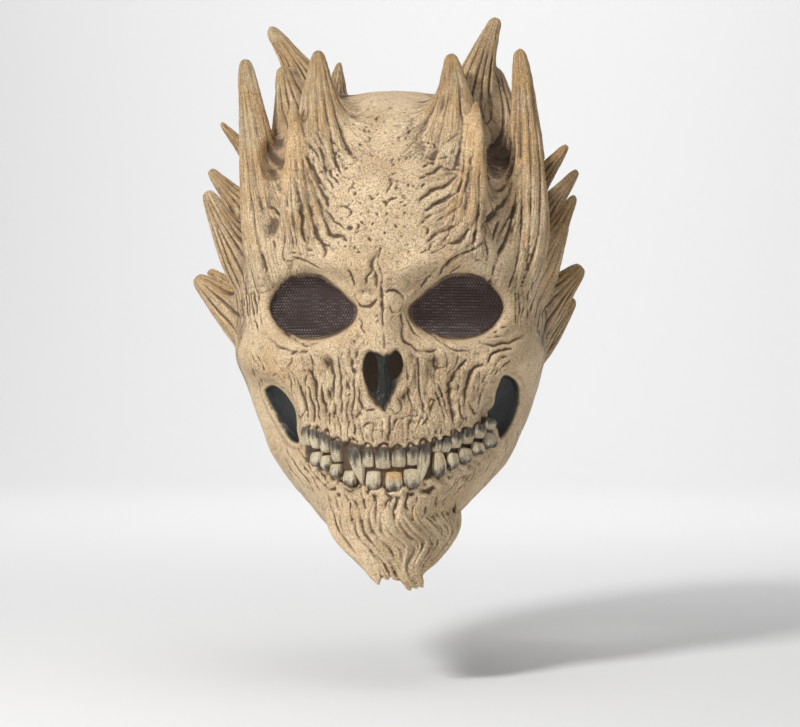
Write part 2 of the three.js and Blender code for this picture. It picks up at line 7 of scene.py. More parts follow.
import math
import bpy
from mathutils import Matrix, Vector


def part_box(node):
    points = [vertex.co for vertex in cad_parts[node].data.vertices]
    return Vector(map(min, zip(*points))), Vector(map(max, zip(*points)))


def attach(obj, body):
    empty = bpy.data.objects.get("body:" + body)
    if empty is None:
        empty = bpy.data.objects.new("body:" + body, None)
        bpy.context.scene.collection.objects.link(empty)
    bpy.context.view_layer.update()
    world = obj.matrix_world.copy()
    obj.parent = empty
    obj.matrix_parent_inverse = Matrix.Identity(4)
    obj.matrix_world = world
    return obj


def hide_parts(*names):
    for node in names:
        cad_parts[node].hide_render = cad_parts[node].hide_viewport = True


bl_info = {
    "name": "Horned skull mask",
    "version": (1, 0, 0),
    "blender": (4, 5, 0),
    "location": "View3D > Sidebar > Skull Mask",
    "description": "Builds a horned skull mask of painted latex in a plain studio",
    "category": "Object",
}

import bmesh
import bpy
import numpy as np
from mathutils import Vector
from mathutils.kdtree import KDTree

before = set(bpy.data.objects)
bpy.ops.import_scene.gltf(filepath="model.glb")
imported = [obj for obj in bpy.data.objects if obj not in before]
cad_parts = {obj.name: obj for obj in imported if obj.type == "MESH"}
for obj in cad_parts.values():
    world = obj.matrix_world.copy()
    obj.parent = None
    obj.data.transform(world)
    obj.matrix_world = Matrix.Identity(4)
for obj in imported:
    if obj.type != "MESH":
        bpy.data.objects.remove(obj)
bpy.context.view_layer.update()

MM = 0.001

# How finely the head is laid out before it is cast in one with the horns: around, along
HEAD_POINTS = (280, 240)
HOLLOW_POINTS = (140, 120)
FILLET_PASSES = 60
EVEN_PASSES = 4

# Driving sizes, as in the solids
FACE_WIDTH = 0.198
CROWN_TO_JAW = 0.276
FACE_REACH = 0.108
NAPE_REACH = 0.112
WALL = 0.0026
EYE_SPACING = 0.089
EYE_DROP = 0.140
EYE_WIDTH = 0.056
EYE_HEIGHT = 0.0425
NOSE_DROP = 0.185
NOSE_WIDTH = 0.028
NOSE_HEIGHT = 0.035
RELIEF_DEPTH = 0.010
GROOVE_DEPTH = 0.42
MOUTH_DROP = 0.2415
MOUTH_HALF = 0.062
MOUTH_LIFT = 0.019
TOOTH_WIDTH = 0.0125
TOOTH_LENGTH = 0.015
HORN_RADIUS = 0.017
HORN_WALL = 0.003
HORN_GRAIN = 0.0021
LEAST_WALL = 0.0015
BITE_RISE = 0.0024

FACE_HALF = FACE_WIDTH / 2
CROWN_TOP = WALL

# Level sections of the bare head, crown first:
# drop of CROWN_TO_JAW, half of FACE_HALF, front of FACE_REACH, back of NAPE_REACH, middle, roundness
SECTIONS = np.array([
    (0.0, 0.0, 0.0, 0.0, 0.0, 2.0),
    (0.01, 0.25, 0.25, 0.27, 0.0, 2.0),
    (0.04, 0.48, 0.49, 0.53, 0.0, 2.0),
    (0.09, 0.67, 0.69, 0.74, 0.0, 2.05),
    (0.16, 0.8, 0.83, 0.88, 0.0, 2.1),
    (0.25, 0.89, 0.92, 0.96, 0.0, 2.2),
    (0.34, 0.94, 0.965, 1.0, 0.0, 2.25),
    (0.43, 0.965, 0.965, 1.0, 0.0, 2.3),
    (0.52, 0.975, 0.93, 0.985, 0.0, 2.3),
    (0.6, 0.98, 0.92, 0.94, 0.0, 2.2),
    (0.68, 0.955, 0.945, 0.88, 0.0, 2.1),
    (0.76, 0.885, 0.97, 0.8, 0.0, 2.05),
    (0.84, 0.775, 0.985, 0.72, 0.0, 2.0),
    (0.91, 0.67, 0.975, 0.64, -0.02, 1.95),
    (0.97, 0.53, 0.945, 0.5, -0.08, 1.95),
    (1.02, 0.39, 0.9, 0.3, -0.2, 2.0),
    (1.06, 0.24, 0.8, 0.0, -0.4, 2.0),
    (1.07, 0.0, 0.55, -0.53, -0.55, 2.0),
])

# Main forms of the skull: x of FACE_HALF, drop of CROWN_TO_JAW, half width, half height, turn, rise of
# RELIEF_DEPTH, flatness of the floor, whether it repeats mirrored, how much deeper the inside falls
RELIEF = (
    (0.0, 0.44, 0.2, 0.035, 0, 0.35, 1, False, 1.0),
    (0.36, 0.408, 0.3, 0.026, 13, 0.8, 1, True, 1.0),
    (0.72, 0.43, 0.16, 0.04, -35, 0.5, 1, True, 1.0),
    (0.86, 0.52, 0.1, 0.08, 0, 0.4, 1, True, 1.0),
    (0.45, 0.505, 0.3, 0.08, 0, -0.95, 2, True, 1.2),
    (0.0, 0.55, 0.13, 0.085, 0, 0.9, 1, False, 1.0),
    (0.45, 0.603, 0.3, 0.022, 4, 0.4, 1, True, 1.0),
    (0.74, 0.635, 0.26, 0.042, 14, 0.85, 1, True, 1.0),
    (0.4, 0.695, 0.2, 0.05, 20, -0.5, 1, True, 1.2),
    (0.0, 0.79, 0.42, 0.05, 0, 0.45, 1, False, 1.0),
    (-0.69, 0.752, 0.115, 0.085, 20, -1.0, 2, False, 1.8),
    (0.735, 0.742, 0.1, 0.085, -14, -0.9, 2, False, 2.0),
    (0.82, 0.85, 0.14, 0.05, 0, 0.35, 1, True, 1.0),
    (0.0, 0.965, 0.28, 0.04, 0, 0.7, 1, False, 1.0),
)

# Horns: degrees round from the face's middle, drop of the root, tip x of FACE_HALF, tip y of FACE_REACH,
# tip drop, thickness of HORN_RADIUS, bow sideways and back as shares of the length, whether it is hollow
HORNS = (
    (-57, 0.34, -0.933, -0.35, -0.075, 1.2, 0.06, -0.08, True),
    (60, 0.34, 0.821, -0.33, -0.094, 1.15, 0.1, -0.08, True),
    (-31, 0.31, -0.567, -0.7, 0.033, 0.74, -0.04, -0.12, True),
    (31, 0.31, 0.56, -0.7, 0.044, 0.74, 0.08, -0.12, True),
    (-36, 0.3, -0.592, -0.83, 0.142, 0.52, -0.04, -0.1, False),
    (35, 0.28, 0.607, -0.83, 0.118, 0.52, 0.06, -0.1, False),
    (-34, 0.13, -0.473, -0.2, -0.092, 1.15, 0.02, -0.1, True),
    (34, 0.13, 0.383, -0.2, -0.082, 1.15, 0.04, -0.1, True),
    (-105, 0.03, -0.361, 0.11, -0.09, 0.65, 0.0, 0.0, False),
    (-78, 0.06, -0.858, 0.2, -0.174, 1.1, 0.24, -0.05, True),
    (80, 0.065, 0.683, 0.22, -0.195, 1.15, -0.18, -0.05, True),
    (80, 0.12, 0.66, 0.2, -0.07, 1.1, 0.06, 0.0, False),
    (-62, 0.12, -0.729, -0.06, -0.064, 1.05, 0.06, 0.0, False),
    (-102, 0.21, -1.192, 0.17, 0.05, 0.7, 0.06, 0.0, False),
    (100, 0.26, 1.16, 0.14, 0.112, 0.8, -0.1, 0.0, False),
    (-88, 0.32, -1.24, 0.05, 0.17, 0.9, 0.1, 0.0, False),
    (92, 0.34, 1.222, 0.02, 0.176, 0.85, -0.12, 0.0, False),
    (-76, 0.42, -1.214, -0.17, 0.228, 1.1, 0.0, 0.0, False),
    (84, 0.41, 1.2, -0.13, 0.238, 0.85, -0.04, 0.0, False),
    (72, 0.45, 1.122, -0.3, 0.31, 1.05, 0.0, 0.0, False),
    (-84, 0.55, -1.31, -0.07, 0.43, 1.2, 0.12, 0.0, False),
    (86, 0.53, 1.244, -0.04, 0.406, 1.2, -0.1, 0.0, False),
    (-98, 0.51, -1.274, 0.18, 0.408, 0.85, 0.1, 0.0, False),
    (98, 0.59, 1.201, 0.07, 0.48, 0.9, -0.06, 0.0, False),
)
# Webs of skin between two horns: row of one horn and the shares of its length that the web runs between,
# and the same for the other horn
WEBS = (
    (0, 0.34, 0.5, 2, 0.3, 0.5), (1, 0.34, 0.5, 3, 0.3, 0.5),
    (0, 0.5, 0.7, 12, 0.15, 0.5), (2, 0.5, 0.72, 12, 0.15, 0.4), (12, 0.3, 0.6, 9, 0.3, 0.45),
    (1, 0.5, 0.7, 11, 0.15, 0.5), (3, 0.5, 0.72, 11, 0.15, 0.4), (2, 0.4, 0.6, 6, 0.3, 0.5),
    (3, 0.4, 0.6, 7, 0.3, 0.5),
    (15, 0.35, 0.68, 17, 0.35, 0.68), (14, 0.35, 0.68, 16, 0.35, 0.68), (16, 0.35, 0.68, 18, 0.35, 0.68),
    (18, 0.35, 0.66, 19, 0.35, 0.66), (20, 0.35, 0.6, 22, 0.35, 0.6), (21, 0.35, 0.6, 23, 0.35, 0.6),
)
# Webs: their radius, how far they sag as a share of the span, tubes in each and steps along each
WEB_THICK = 0.0042
WEB_SAG = 0.22
WEB_TUBES = 6
WEB_STEPS = 10
# Horns further round from the face's middle than this, in degrees, are painted darker
SIDE_HORNS_FROM = 75
# Horns: how far the foot lies behind the root in lengths and inside the skull in radii, how flat the
# section is, rings along and sides round, and the share of the length that the last ring reaches
HORN_FOOT = 0.34
HORN_SINK = 0.85
HORN_FLAT = 0.85
HORN_RINGS = 24
HORN_SIDES = 28
TIP_REACH = 0.985
HORN_PROFILE = (
    (0, 0.0), (0.04, 0.4), (0.16, 1.0), (0.36, 0.96), (0.56, 0.75),
    (0.8, 0.45), (0.92, 0.33), (0.97, 0.26), (0.99, 0.17), (1, 0.0),
)
HOLLOW_PROFILE = ((0, 0.0), (0.04, 0.4), (0.16, 1.0), (0.36, 0.86), (0.6, 0.5), (0.72, 0.0))

# Guide lines of the beard's strands in the front view, from its left edge to its right edge
BEARD_LINES = (
    ((-36, -252), (-34, -264), (-31, -273), (-24.5, -282), (-12, -293), (-2, -305.5)),
    ((-28, -256), (-28, -266), (-24.5, -277), (-15, -286), (-7.5, -295), (-1.5, -306.5)),
    ((-18, -258), (-19, -267), (-17.5, -278), (-10, -287), (-5, -294), (-0.5, -303.5)),
    ((-9, -259), (-10, -267), (-8, -277), (-1, -285), (7, -294), (13, -305)),
    ((1, -260), (-1, -268), (1.5, -277), (11.5, -285), (11.5, -297), (17, -311)),
    ((9, -259), (8, -267), (14, -276), (22, -284), (16.5, -297), (25.5, -309.5)),
    ((20, -258), (21, -267), (28, -275), (31, -283), (23.5, -294), (21, -304.5)),
    ((32, -256), (34, -266), (38, -274), (36, -282), (29, -292), (21, -301.5)),
    ((46, -252), (44.5, -266), (41.5, -276), (35.5, -285), (28.5, -293.5), (21.5, -300)),
)
BEARD_ROOT = 0.262
# The beard's strands, in millimetres: how many, thinnest and thickest radius, how far back they stand
STRANDS = ((17, 2.1, 3.1, 0.0), (38, 0.9, 1.5, -1.5))
STRAND_STEPS = 22
BACKING_STRANDS = 19
BACKING_RADIUS = 4.8
BACKING_SINK = 5.4
LOCK_PROFILE = (
    (0, 0.0), (0.03, 0.45), (0.25, 1.0), (0.55, 0.95), (0.8, 0.72), (0.93, 0.5), (0.98, 0.34), (1, 0.0),
)

# The lower rim from the side: y of NAPE_REACH, drop of CROWN_TO_JAW
RIM_LINE = (
    (-0.62, 1.03), (-0.45, 0.955), (-0.25, 0.89), (0.0, 0.835), (0.3, 0.8), (0.65, 0.775), (1.3, 0.765),
)

# Outlines of the openings on the right, as shares of their half width and half height
EYE_OUTLINE = (
    (-0.99, -0.08), (-0.76, 0.22), (-0.56, 0.46), (-0.14, 0.82), (0.45, 0.8), (0.8, 0.47), (1.01, -0.07),
    (0.79, -0.64), (0.45, -0.89), (0.02, -0.98), (-0.42, -0.91), (-0.78, -0.7), (-0.98, -0.4),
)
NOSTRIL_OUTLINES = {
    -1: (
        (0.2, 0.35), (0.28, 0.72), (0.5, 0.92), (0.72, 0.8), (0.84, 0.48), (0.82, 0.1),
        (0.7, -0.2), (0.5, -0.42), (0.32, -0.5), (0.22, -0.3), (0.2, 0.0),
    ),
    1: (
        (0.27, 0.4), (0.34, 0.75), (0.56, 0.93), (0.78, 0.82), (0.88, 0.5), (0.82, 0.25),
        (0.66, 0.08), (0.48, -0.04), (0.34, -0.02), (0.27, 0.15),
    ),
}
NOSE_OUTLINE = (
    (-0.9, 0.45), (-0.64, 0.96), (-0.24, 0.9), (0.06, 0.8), (0.36, 0.9), (0.68, 0.98), (0.94, 0.5),
    (0.8, 0.0), (0.54, -0.45), (0.3, -0.9), (0.14, -1.12), (-0.1, -1.05), (-0.5, -0.7), (-0.8, -0.1),
)

# The dark gaps behind the cheeks
LEFT_GAP = (
    (-77, -190), (-72, -187), (-66, -189), (-61, -194), (-57, -201), (-55.5, -208),
    (-55.5, -215), (-54, -222), (-60, -221), (-67, -212), (-72, -203), (-76, -195),
)
RIGHT_GAP = (
    (72, -181), (77, -182), (81, -187), (81.5, -196), (79, -206), (75, -214),
    (70, -220), (68, -214), (64, -209), (62, -204), (66, -199), (68, -190),
)

# Sunken (negative) and raised spots: x, z, half width, half height, turn, rise
SPOTS = (
    (-7, -124, 5, 8, 0, -1.6), (-11, -134, 4, 3, 0, 1.7), (-3, -135, 3, 3, 0, 1.2),
    (6, -136, 5, 4, 0, 1.3), (9, -141, 3, 3, 0, 0.9), (-9, -196, 4, 5, 15, 1.5),
    (14.5, -194, 4, 5.5, -20, -2.2), (-33, -175, 3.5, 6, 15, -2.6), (31, -176, 4, 8, -5, -2.4),
    (24, -181, 6, 12, 0, -1.2), (-19.5, -92, 2, 1.5, 0, -1.1), (-69, -89, 4, 8, -20, -2.4),
    (70, -45, 8, 14, 0, -5.0), (-71, -46, 7, 14, 0, -5.0), (-28, -97, 2.4, 1.6, 10, -1.2),
    (50, -97, 6, 3.4, 25, -1.6), (63, -86, 4, 7, -25, -2.0), (-46, -230, 3, 3.5, 0, -2.2),
    (-38, -236, 3, 2.6, 0, -2.0), (-20, -247, 7, 5, 0, -2.0), (17, -251, 3, 3, 0, -1.6),
    (29, -250, 4, 3, 0, -1.3), (-4, -254, 3, 3, 0, -1.2), (8, -254, 3, 2.6, 0, -1.2),
)

# Single lines cut into the skin (negative depth) or standing on it: half width, depth, points
LINES = (
    (0.9, -1.4, ((-1, -104), (-2, -112), (0, -120), (0, -130), (0.5, -142), (1, -156), (2, -169))),
    (2.2, -1.8, ((-3, -106), (-5, -114), (-4, -122), (-2, -128))),
    (1.2, -1.2, ((-6, -110), (-7, -118), (-10, -126))),
    (1.0, -1.4, ((-16, -132), (-13, -138), (-8, -139), (-4, -137), (-1, -132), (0, -128))),
    (0.8, -1.1, ((0, -134), (3, -130), (8, -129.5), (12, -133), (13, -137))),
    (0.8, -0.9, ((4, -139), (7, -143), (11, -140), (13, -137))),
    (0.8, -0.9, ((-14, -146), (-12, -149), (-13, -152), (-11, -155))),
    (0.8, -0.7, ((-5, -146), (-2, -144.5))),
    (0.8, -0.7, ((-4, -148.5), (-1, -147))),
    (1.3, -1.1, ((11, -143), (12, -150), (12, -158), (16, -163))),
    (1.0, -0.9, ((14, -146), (17, -152), (22, -158))),
    (1.5, -1.0, ((-17, -160), (-16, -170), (-15.5, -182), (-14.5, -190))),
    (1.1, -0.9, ((-20, -165), (-19.5, -175), (-20, -188))),
    (1.6, 1.5, ((9, -163), (13.5, -166.5), (16.5, -173), (17, -181), (14, -188), (9, -194), (5, -199))),
    (1.5, 1.2, ((-8, -163), (-12.5, -166.5), (-16, -172), (-15, -180), (-13.5, -188), (-11, -193))),
    (1.0, -1.3, ((-14, -189), (-13.5, -196), (-10, -201.5), (-5, -200))),
    (1.1, -1.2, ((-68, -146), (-62, -153), (-54, -159.5), (-46, -162.5), (-40, -161))),
    (1.2, -0.9, ((-72, -157), (-62, -164), (-52, -166.5), (-44, -165))),
    (0.8, -0.7, ((-58, -168), (-54, -165.5), (-51, -163.5))),
    (1.1, -1.5, ((25, -150), (31, -156), (37, -161.5), (44, -165), (52, -166))),
    (0.8, -1.0, ((30, -153), (37, -159.5), (42, -163))),
    (0.9, -1.0, ((77, -149), (70, -153), (64, -155.5))),
    (0.8, -0.7, ((74, -155), (68, -157.5), (62, -157.5))),
    (1.4, -1.2, ((86, -155), (78, -159.5), (68, -161.5), (58, -160.5))),
    (1.5, -1.4, ((13, -160), (20, -165), (28, -166.5), (33, -165))),
    (1.6, -2.0, ((54, -105), (46, -109), (39, -114), (33, -121))),
    (0.9, -1.0, ((48, -113), (43, -117), (40, -120))),
    (1.2, -0.9, ((33, -116), (27, -122), (22, -128), (18, -133))),
    (1.4, -1.2, ((-22, -114), (-19, -121), (-17, -126))),
    (1.0, -0.9, ((-60, -109), (-50, -111), (-40, -115), (-30, -122))),
    (0.9, -0.7, ((-68, -110), (-57, -107), (-46, -108))),
    (1.2, -1.5, ((-34, -91), (-31, -96), (-25, -97), (-21, -99))),
    (1.0, -1.0, ((-36, -101), (-34, -106), (-35, -110))),
    (0.9, -1.0, ((-28, -79), (-22, -79), (-19, -82), (-21, -85))),
    (0.9, -1.1, ((-34, -80), (-28, -88), (-22, -93))),
    (1.0, -1.2, ((-38, -34), (-32, -38), (-27, -43), (-30, -46))),
    (1.4, -1.7, ((-72, -76), (-66, -82), (-63, -92), (-63, -97))),
    (1.0, -1.1, ((-69, -97), (-66, -104))),
    (1.2, -1.4, ((-61, -70), (-58, -77), (-55, -86), (-54, -96))),
    (1.0, -1.0, ((46, -33), (40, -38), (35, -41))),
    (1.0, -1.0, ((43, -44), (38, -48), (32, -50))),
    (1.3, -1.5, ((36, -54), (30, -58), (26, -59))),
    (1.4, -1.7, ((44, -60), (38, -66), (31, -68), (26, -72), (21, -75))),
    (1.4, -1.7, ((48, -62), (44, -70), (36, -75), (30, -79), (26, -81))),
    (1.1, -1.1, ((50, -70), (46, -78), (40, -83), (34, -87))),
    (1.0, -0.9, ((31, -82), (26, -87), (22, -90))),
    (1.3, -1.2, ((47, -88), (40, -92), (33, -96), (27, -101))),
    (1.6, -2.0, ((58, -78), (56, -88), (50, -95), (45, -100), (40, -101.5))),
    (0.8, -1.0, ((24, -55), (28, -53))),
    (0.8, -1.0, ((20, -69), (23, -65))),
    (0.8, -0.9, ((22, -62), (26, -60))),
    (1.3, -1.4, ((54, -45), (52, -58), (49, -70), (45, -80))),
    (1.8, -1.8, ((78, -62), (72, -75), (64, -88), (60, -94))),
    (1.3, -1.3, ((82, -72), (76, -84), (70, -95))),
    (1.2, -1.2, ((80, -78), (78, -90), (77, -100))),
    (1.1, -1.0, ((70, -84), (68, -92), (66, -98))),
    (1.1, -1.0, ((86, -80), (85, -95), (86, -108))),
    (2.0, 1.6, ((62, -55), (66, -60), (73, -61.5), (79, -57), (82, -49))),
    (2.0, 1.6, ((-79, -50), (-76, -58), (-70, -62), (-64, -60), (-61, -53))),
    (0.9, -1.0, ((8, -59), (4, -61), (5, -66), (3, -71))),
    (0.8, -0.9, ((9, -73), (5, -75), (3, -79))),
    (0.8, -0.8, ((3, -81), (1.5, -86))),
    (1.2, -1.0, ((-82, -178), (-74, -181), (-66, -180))),
    (1.2, -1.4, ((63, -173), (66, -168), (72, -165), (78, -164))),
    (1.0, -1.1, ((67, -175), (71, -170), (76, -168))),
    (1.8, -1.9, ((-46, -177), (-42, -184), (-40, -191))),
    (1.6, -1.7, ((-38, -188), (-36, -196), (-33, -206))),
    (1.8, -2.1, ((50, -172), (44, -178), (41, -186), (40, -194), (42, -204), (43, -209))),
    (1.7, -2.0, ((60, -174), (54, -177), (51, -184), (50, -193))),
    (0.9, -1.3, ((33, -186), (37, -196), (40, -206))),
    (0.8, -1.1, ((31, -189), (35.5, -199), (38, -207))),
    (1.0, -1.0, ((46, -196), (47, -203), (49, -208))),
    (1.0, -1.0, ((52, -197), (54, -202), (58, -205))),
    (1.0, -1.1, ((65, -180), (60, -190), (58, -198))),
    (1.3, -1.7, ((4.5, -202), (4.5, -212), (4, -222))),
    (1.0, -1.2, ((13, -206), (13, -214), (12.5, -219))),
    (1.1, -1.2, ((-17, -208), (-17, -214), (-17.5, -221))),
    (0.8, -0.8, ((-10, -209), (-9, -219))),
    (0.8, -0.8, ((9, -204), (8, -213))),
    (1.2, -1.6, ((-76, -196), (-70, -207), (-63, -216), (-57, -221))),
    (0.9, 1.1, ((-73, -194), (-68, -204), (-61, -214), (-57, -219))),
)

# Rows of like lines between a first and a last one: count, half width, depth, wander, first, last
COMBS = (
    (7, 1.2, -1.5, 1.0, ((-58, -60), (-55, -76), (-52, -92), (-50, -101)),
     ((-47, -62), (-38, -78), (-33, -92), (-31, -99))),
    (9, 1.1, -1.2, 1.0, ((-50, -50), (-44, -62), (-37, -76), (-33, -84)),
     ((-42, -24), (-36, -34), (-27, -50), (-20, -58))),
    (9, 1.3, -1.5, 0.9, ((-54, -178), (-50, -190), (-47, -203), (-46, -211)),
     ((-18, -170), (-18, -188), (-18, -204), (-18, -217))),
    (6, 0.9, -0.8, 0.8, ((-78, -168), (-70, -176), (-64, -184)), ((-60, -174), (-54, -182), (-50, -190))),
    (5, 1.1, -1.2, 0.7, ((20, -198), (17, -208), (12, -218)), ((31, -196), (29, -205), (25, -214))),
    (5, 1.0, -1.0, 0.7, ((64, -176), (61, -184), (58, -194)), ((80, -170), (73, -175), (67, -182))),
    (5, 1.1, -1.0, 1.2, ((-68, -228), (-60, -240), (-50, -252)), ((-50, -226), (-40, -238), (-30, -250))),
    (11, 0.8, -0.7, 0.8, ((46, -240), (42, -248), (34, -256)), ((76, -224), (70, -238), (60, -252))),
    (13, 1.2, -1.3, 1.2, ((-38, -250), (-33, -258), (-31, -268)), ((42, -250), (38, -258), (38, -268))),
    (6, 0.9, -0.8, 0.8, ((-15, -203), (-14, -212), (-14, -219)), ((11, -203), (11, -211), (10, -220))),
    (5, 1.0, -0.9, 1.0, ((36, -98), (30, -103), (24, -108)), ((64, -100), (58, -104), (50, -106))),
    (5, 1.0, -1.0, 0.8, ((-90, -120), (-88, -140), (-84, -156)), ((-79, -118), (-79, -136), (-76, -150))),
    (5, 1.0, -1.0, 0.8, ((90, -115), (90, -135), (87, -155)), ((79, -118), (80, -134), (79, -148))),
    (8, 0.9, -0.8, 0.9, ((-88, -165), (-84, -176), (-82, -190)), ((-80, -166), (-76, -174), (-74, -184))),
)

# Teeth: x of MOUTH_HALF, width of TOOTH_WIDTH, root and biting end above the bite in TOOTH_LENGTH,
# width at the bite, lean, stain
UPPER_TEETH = (
    (-0.745, 0.5, 1.0, 0.16, 0.85, 2, 0.1), (-0.655, 0.44, 1.12, 0.2, 0.85, 0, 0.0),
    (-0.56, 0.5, 1.15, 0.2, 0.85, 2, 0.1), (-0.45, 0.52, 1.02, -0.04, 0.82, 4, 0.0),
    (-0.29, 0.7, 1.1, -0.84, 0.3, 14, 0.0), (-0.135, 0.6, 1.0, 0.01, 0.9, 0, 0.0),
    (0.01, 0.78, 1.03, -0.02, 0.9, 0, 0.0), (0.155, 0.72, 0.98, 0.01, 0.9, 0, 0.1),
    (0.285, 0.6, 0.92, 0.01, 0.88, 0, 0.0), (0.41, 0.6, 0.98, -0.85, 0.3, -8, 0.0),
    (0.51, 0.4, 0.9, 0.3, 0.9, -4, 0.1), (0.595, 0.48, 0.85, 0.17, 0.9, -4, 0.0),
    (0.69, 0.54, 0.95, 0.17, 0.88, -4, 0.0), (0.8, 0.54, 0.82, 0.12, 0.88, -5, 0.1),
    (0.91, 0.54, 0.72, 0.1, 0.88, -6, 0.0), (1.01, 0.5, 0.72, 0.2, 0.85, -8, 0.0),
)
LOWER_TEETH = (
    (-0.64, 0.54, -0.5, 0.12, 0.9, -4, 0.0), (-0.54, 0.5, -0.5, 0.14, 0.9, -4, 0.1),
    (-0.44, 0.54, -0.62, -0.06, 0.9, -4, 0.0), (-0.31, 0.62, -0.85, -0.2, 0.9, 0, 0.1),
    (-0.08, 0.76, -0.9, -0.09, 0.85, 0, 0.1), (0.11, 0.84, -0.95, -0.12, 0.85, 0, 0.9),
    (0.275, 0.76, -0.9, -0.09, 0.85, 0, 0.2), (0.54, 0.6, -0.75, 0.34, 0.5, -4, 0.9),
    (0.65, 0.5, -0.6, 0.1, 0.9, 6, 0.0), (0.77, 0.6, -0.58, 0.06, 0.9, 6, 0.1),
    (0.89, 0.56, -0.52, 0.02, 0.9, 8, 0.0), (1.01, 0.54, -0.55, 0.08, 0.9, 8, 0.0),
)


# Teeth, in millimetres: half of the depth from front to back, and how far the belly stands out
TOOTH_DEPTH = 3.4
TOOTH_BELLY = 1.2
SQUARENESS = 0.45

# The rows of teeth: name, teeth, how far the darkening towards the roots wanders, where it starts and
# where it is full
TOOTH_ROWS = (
    ("upper_teeth", UPPER_TEETH, 0.22, 0.3, 0.72),
    ("lower_teeth", LOWER_TEETH, 0.2, 0.55, 0.95),
)

# The studio: floor before and behind the mask, half its width and top of the backdrop, and the light
FLOOR_FRONT = 3.0
FLOOR_BACK = 2.0
FLOOR_HALF = 4.0
BACKDROP_TOP = 4.0
SWEEP_STEPS = 24
SENSOR = 36.0
WORLD_LIGHT = 0.27
FACE_MIDDLE = (0, -0.05, -0.17)
# Lights: name, place, what it points at, width, watts
LIGHTS = (
    ("key light", (-0.85, -1.2, 0.85), FACE_MIDDLE, 0.3, 24.6),
    ("fill light", (1.3, -1.2, 0.1), FACE_MIDDLE, 1.6, 2.7),
    ("top light", (0.1, -0.1, 1.6), FACE_MIDDLE, 1.2, 4),
    ("back light", (0.0, 1.2, 1.6), (0, 3.2, 0.2), 1.6, 30),
)


# Form of the head


def cubic(a, b, c, d, t):
    """A smooth curve from b, where t is 0, to c, where t is 1, between their neighbours a and d."""
    return b + t * (c - a + t * (2 * a - 5 * b + 4 * c - d + t * (3 * (b - c) + d - a))) / 2


def section_at(place):
    """Values of the section table at places between its rows."""
    last = len(SECTIONS) - 1
    row = np.minimum(place.astype(int), last - 1)
    t = (place - row)[..., None]
    a, b, c, d = (SECTIONS[np.clip(row + k, 0, last)] for k in (-1, 0, 1, 2))
    value = cubic(a, b, c, d, t)
    return {
        "z": CROWN_TOP - value[..., 0] * CROWN_TO_JAW,
        "half": np.maximum(value[..., 1], 0) * FACE_HALF,
        "front": value[..., 2] * FACE_REACH,
        "back": value[..., 3] * NAPE_REACH,
        "middle": value[..., 4] * FACE_REACH,
        "power": 2 / value[..., 5],
    }


PLACES = np.linspace(0, len(SECTIONS) - 1, 2000)
LEVELS = section_at(PLACES)["z"]


def place_of(z):
    """Place in the section table whose level is z."""
    return np.interp(-np.asarray(z, float), -LEVELS, PLACES)


def bite_line(x):
    """Level where the upper and the lower teeth close."""
    return CROWN_TOP - MOUTH_DROP + MOUTH_LIFT * (x / MOUTH_HALF) ** 2 + BITE_RISE


def spot_axes(dx, dz, turn, half_width, half_height):
    """Distances from a turned spot's middle along its two axes, as shares of its half sizes."""
    angle = math.radians(turn)
    across = (dx * math.cos(angle) + dz * math.sin(angle)) / half_width
    along = (dz * math.cos(angle) - dx * math.sin(angle)) / half_height
    return across, along


def relief_at(x, z, inside):
    """How far the main forms stand out at x, z of the front view."""
    rise = np.zeros(np.shape(x))
    for fx, drop, wide, tall, turn, height, flat, both, backing in RELIEF:
        for side in (1, -1) if both else (1,):
            dx = x - side * fx * FACE_HALF
            dz = z - (CROWN_TOP - drop * CROWN_TO_JAW)
            across, along = spot_axes(dx, dz, turn * side, wide * FACE_HALF, tall * CROWN_TO_JAW)
            share = np.exp(-((across**2 + along**2) ** flat))
            rise += height * share * (backing if inside else 1)
    above = z - bite_line(x)
    reach = TOOTH_LENGTH * np.where(above > 0, 0.95, 0.75)
    mouth = (above / reach) ** 4 + (x / (MOUTH_HALF * 1.12)) ** 8
    return RELIEF_DEPTH * (rise - GROOVE_DEPTH * np.exp(-mouth))


def smooth_step(value, low, high):
    """0 below low, 1 above high and an even slope between."""
    t = np.clip((value - low) / (high - low), 0, 1)
    return t * t * (3 - 2 * t)


def head_points(place, angle, inset=0.0):
    """Points of the head, inset from the outer skin, at angles round from the face's middle."""
    s = section_at(place)
    sin, cos = np.sin(angle), np.cos(angle)
    reach = np.where(cos > 0, s["front"] + s["middle"], s["back"] - s["middle"])
    x = s["half"] * np.sign(sin) * np.abs(sin) ** s["power"]
    y = s["middle"] - reach * np.sign(cos) * np.abs(cos) ** s["power"]
    out = smooth_step(cos, -0.1, 0.3) * relief_at(x, s["z"], inset > 0) - inset
    run = np.stack([sin * np.maximum(reach, MM), -cos * np.maximum(s["half"], MM)], -1)
    run /= np.linalg.norm(run, axis=-1, keepdims=True)
    near = section_at(np.maximum(place - 0.05, 0))
    far = section_at(np.minimum(place + 0.05, len(SECTIONS) - 1))
    fall = np.maximum(near["z"] - far["z"], 1e-9)
    depth_grow = (far["front"] - near["front"] + far["back"] - near["back"]) / 2
    tilt = np.arctan2((far["half"] - near["half"] + depth_grow) / 2, fall)
    return np.stack([
        x + out * run[..., 0] * np.cos(tilt),
        y + out * run[..., 1] * np.cos(tilt),
        s["z"] + out * np.sin(tilt),
    ], -1)


def skin_points(x, z, inset=0.0):
    """Points of the head's front at x, z of the front view."""
    place = place_of(z)
    s = section_at(place)
    share = np.clip(np.abs(x) / np.maximum(s["half"], 1e-6), 0, 1)
    return head_points(place, np.sign(x) * np.arcsin(share ** (1 / s["power"])), inset)


# Growths


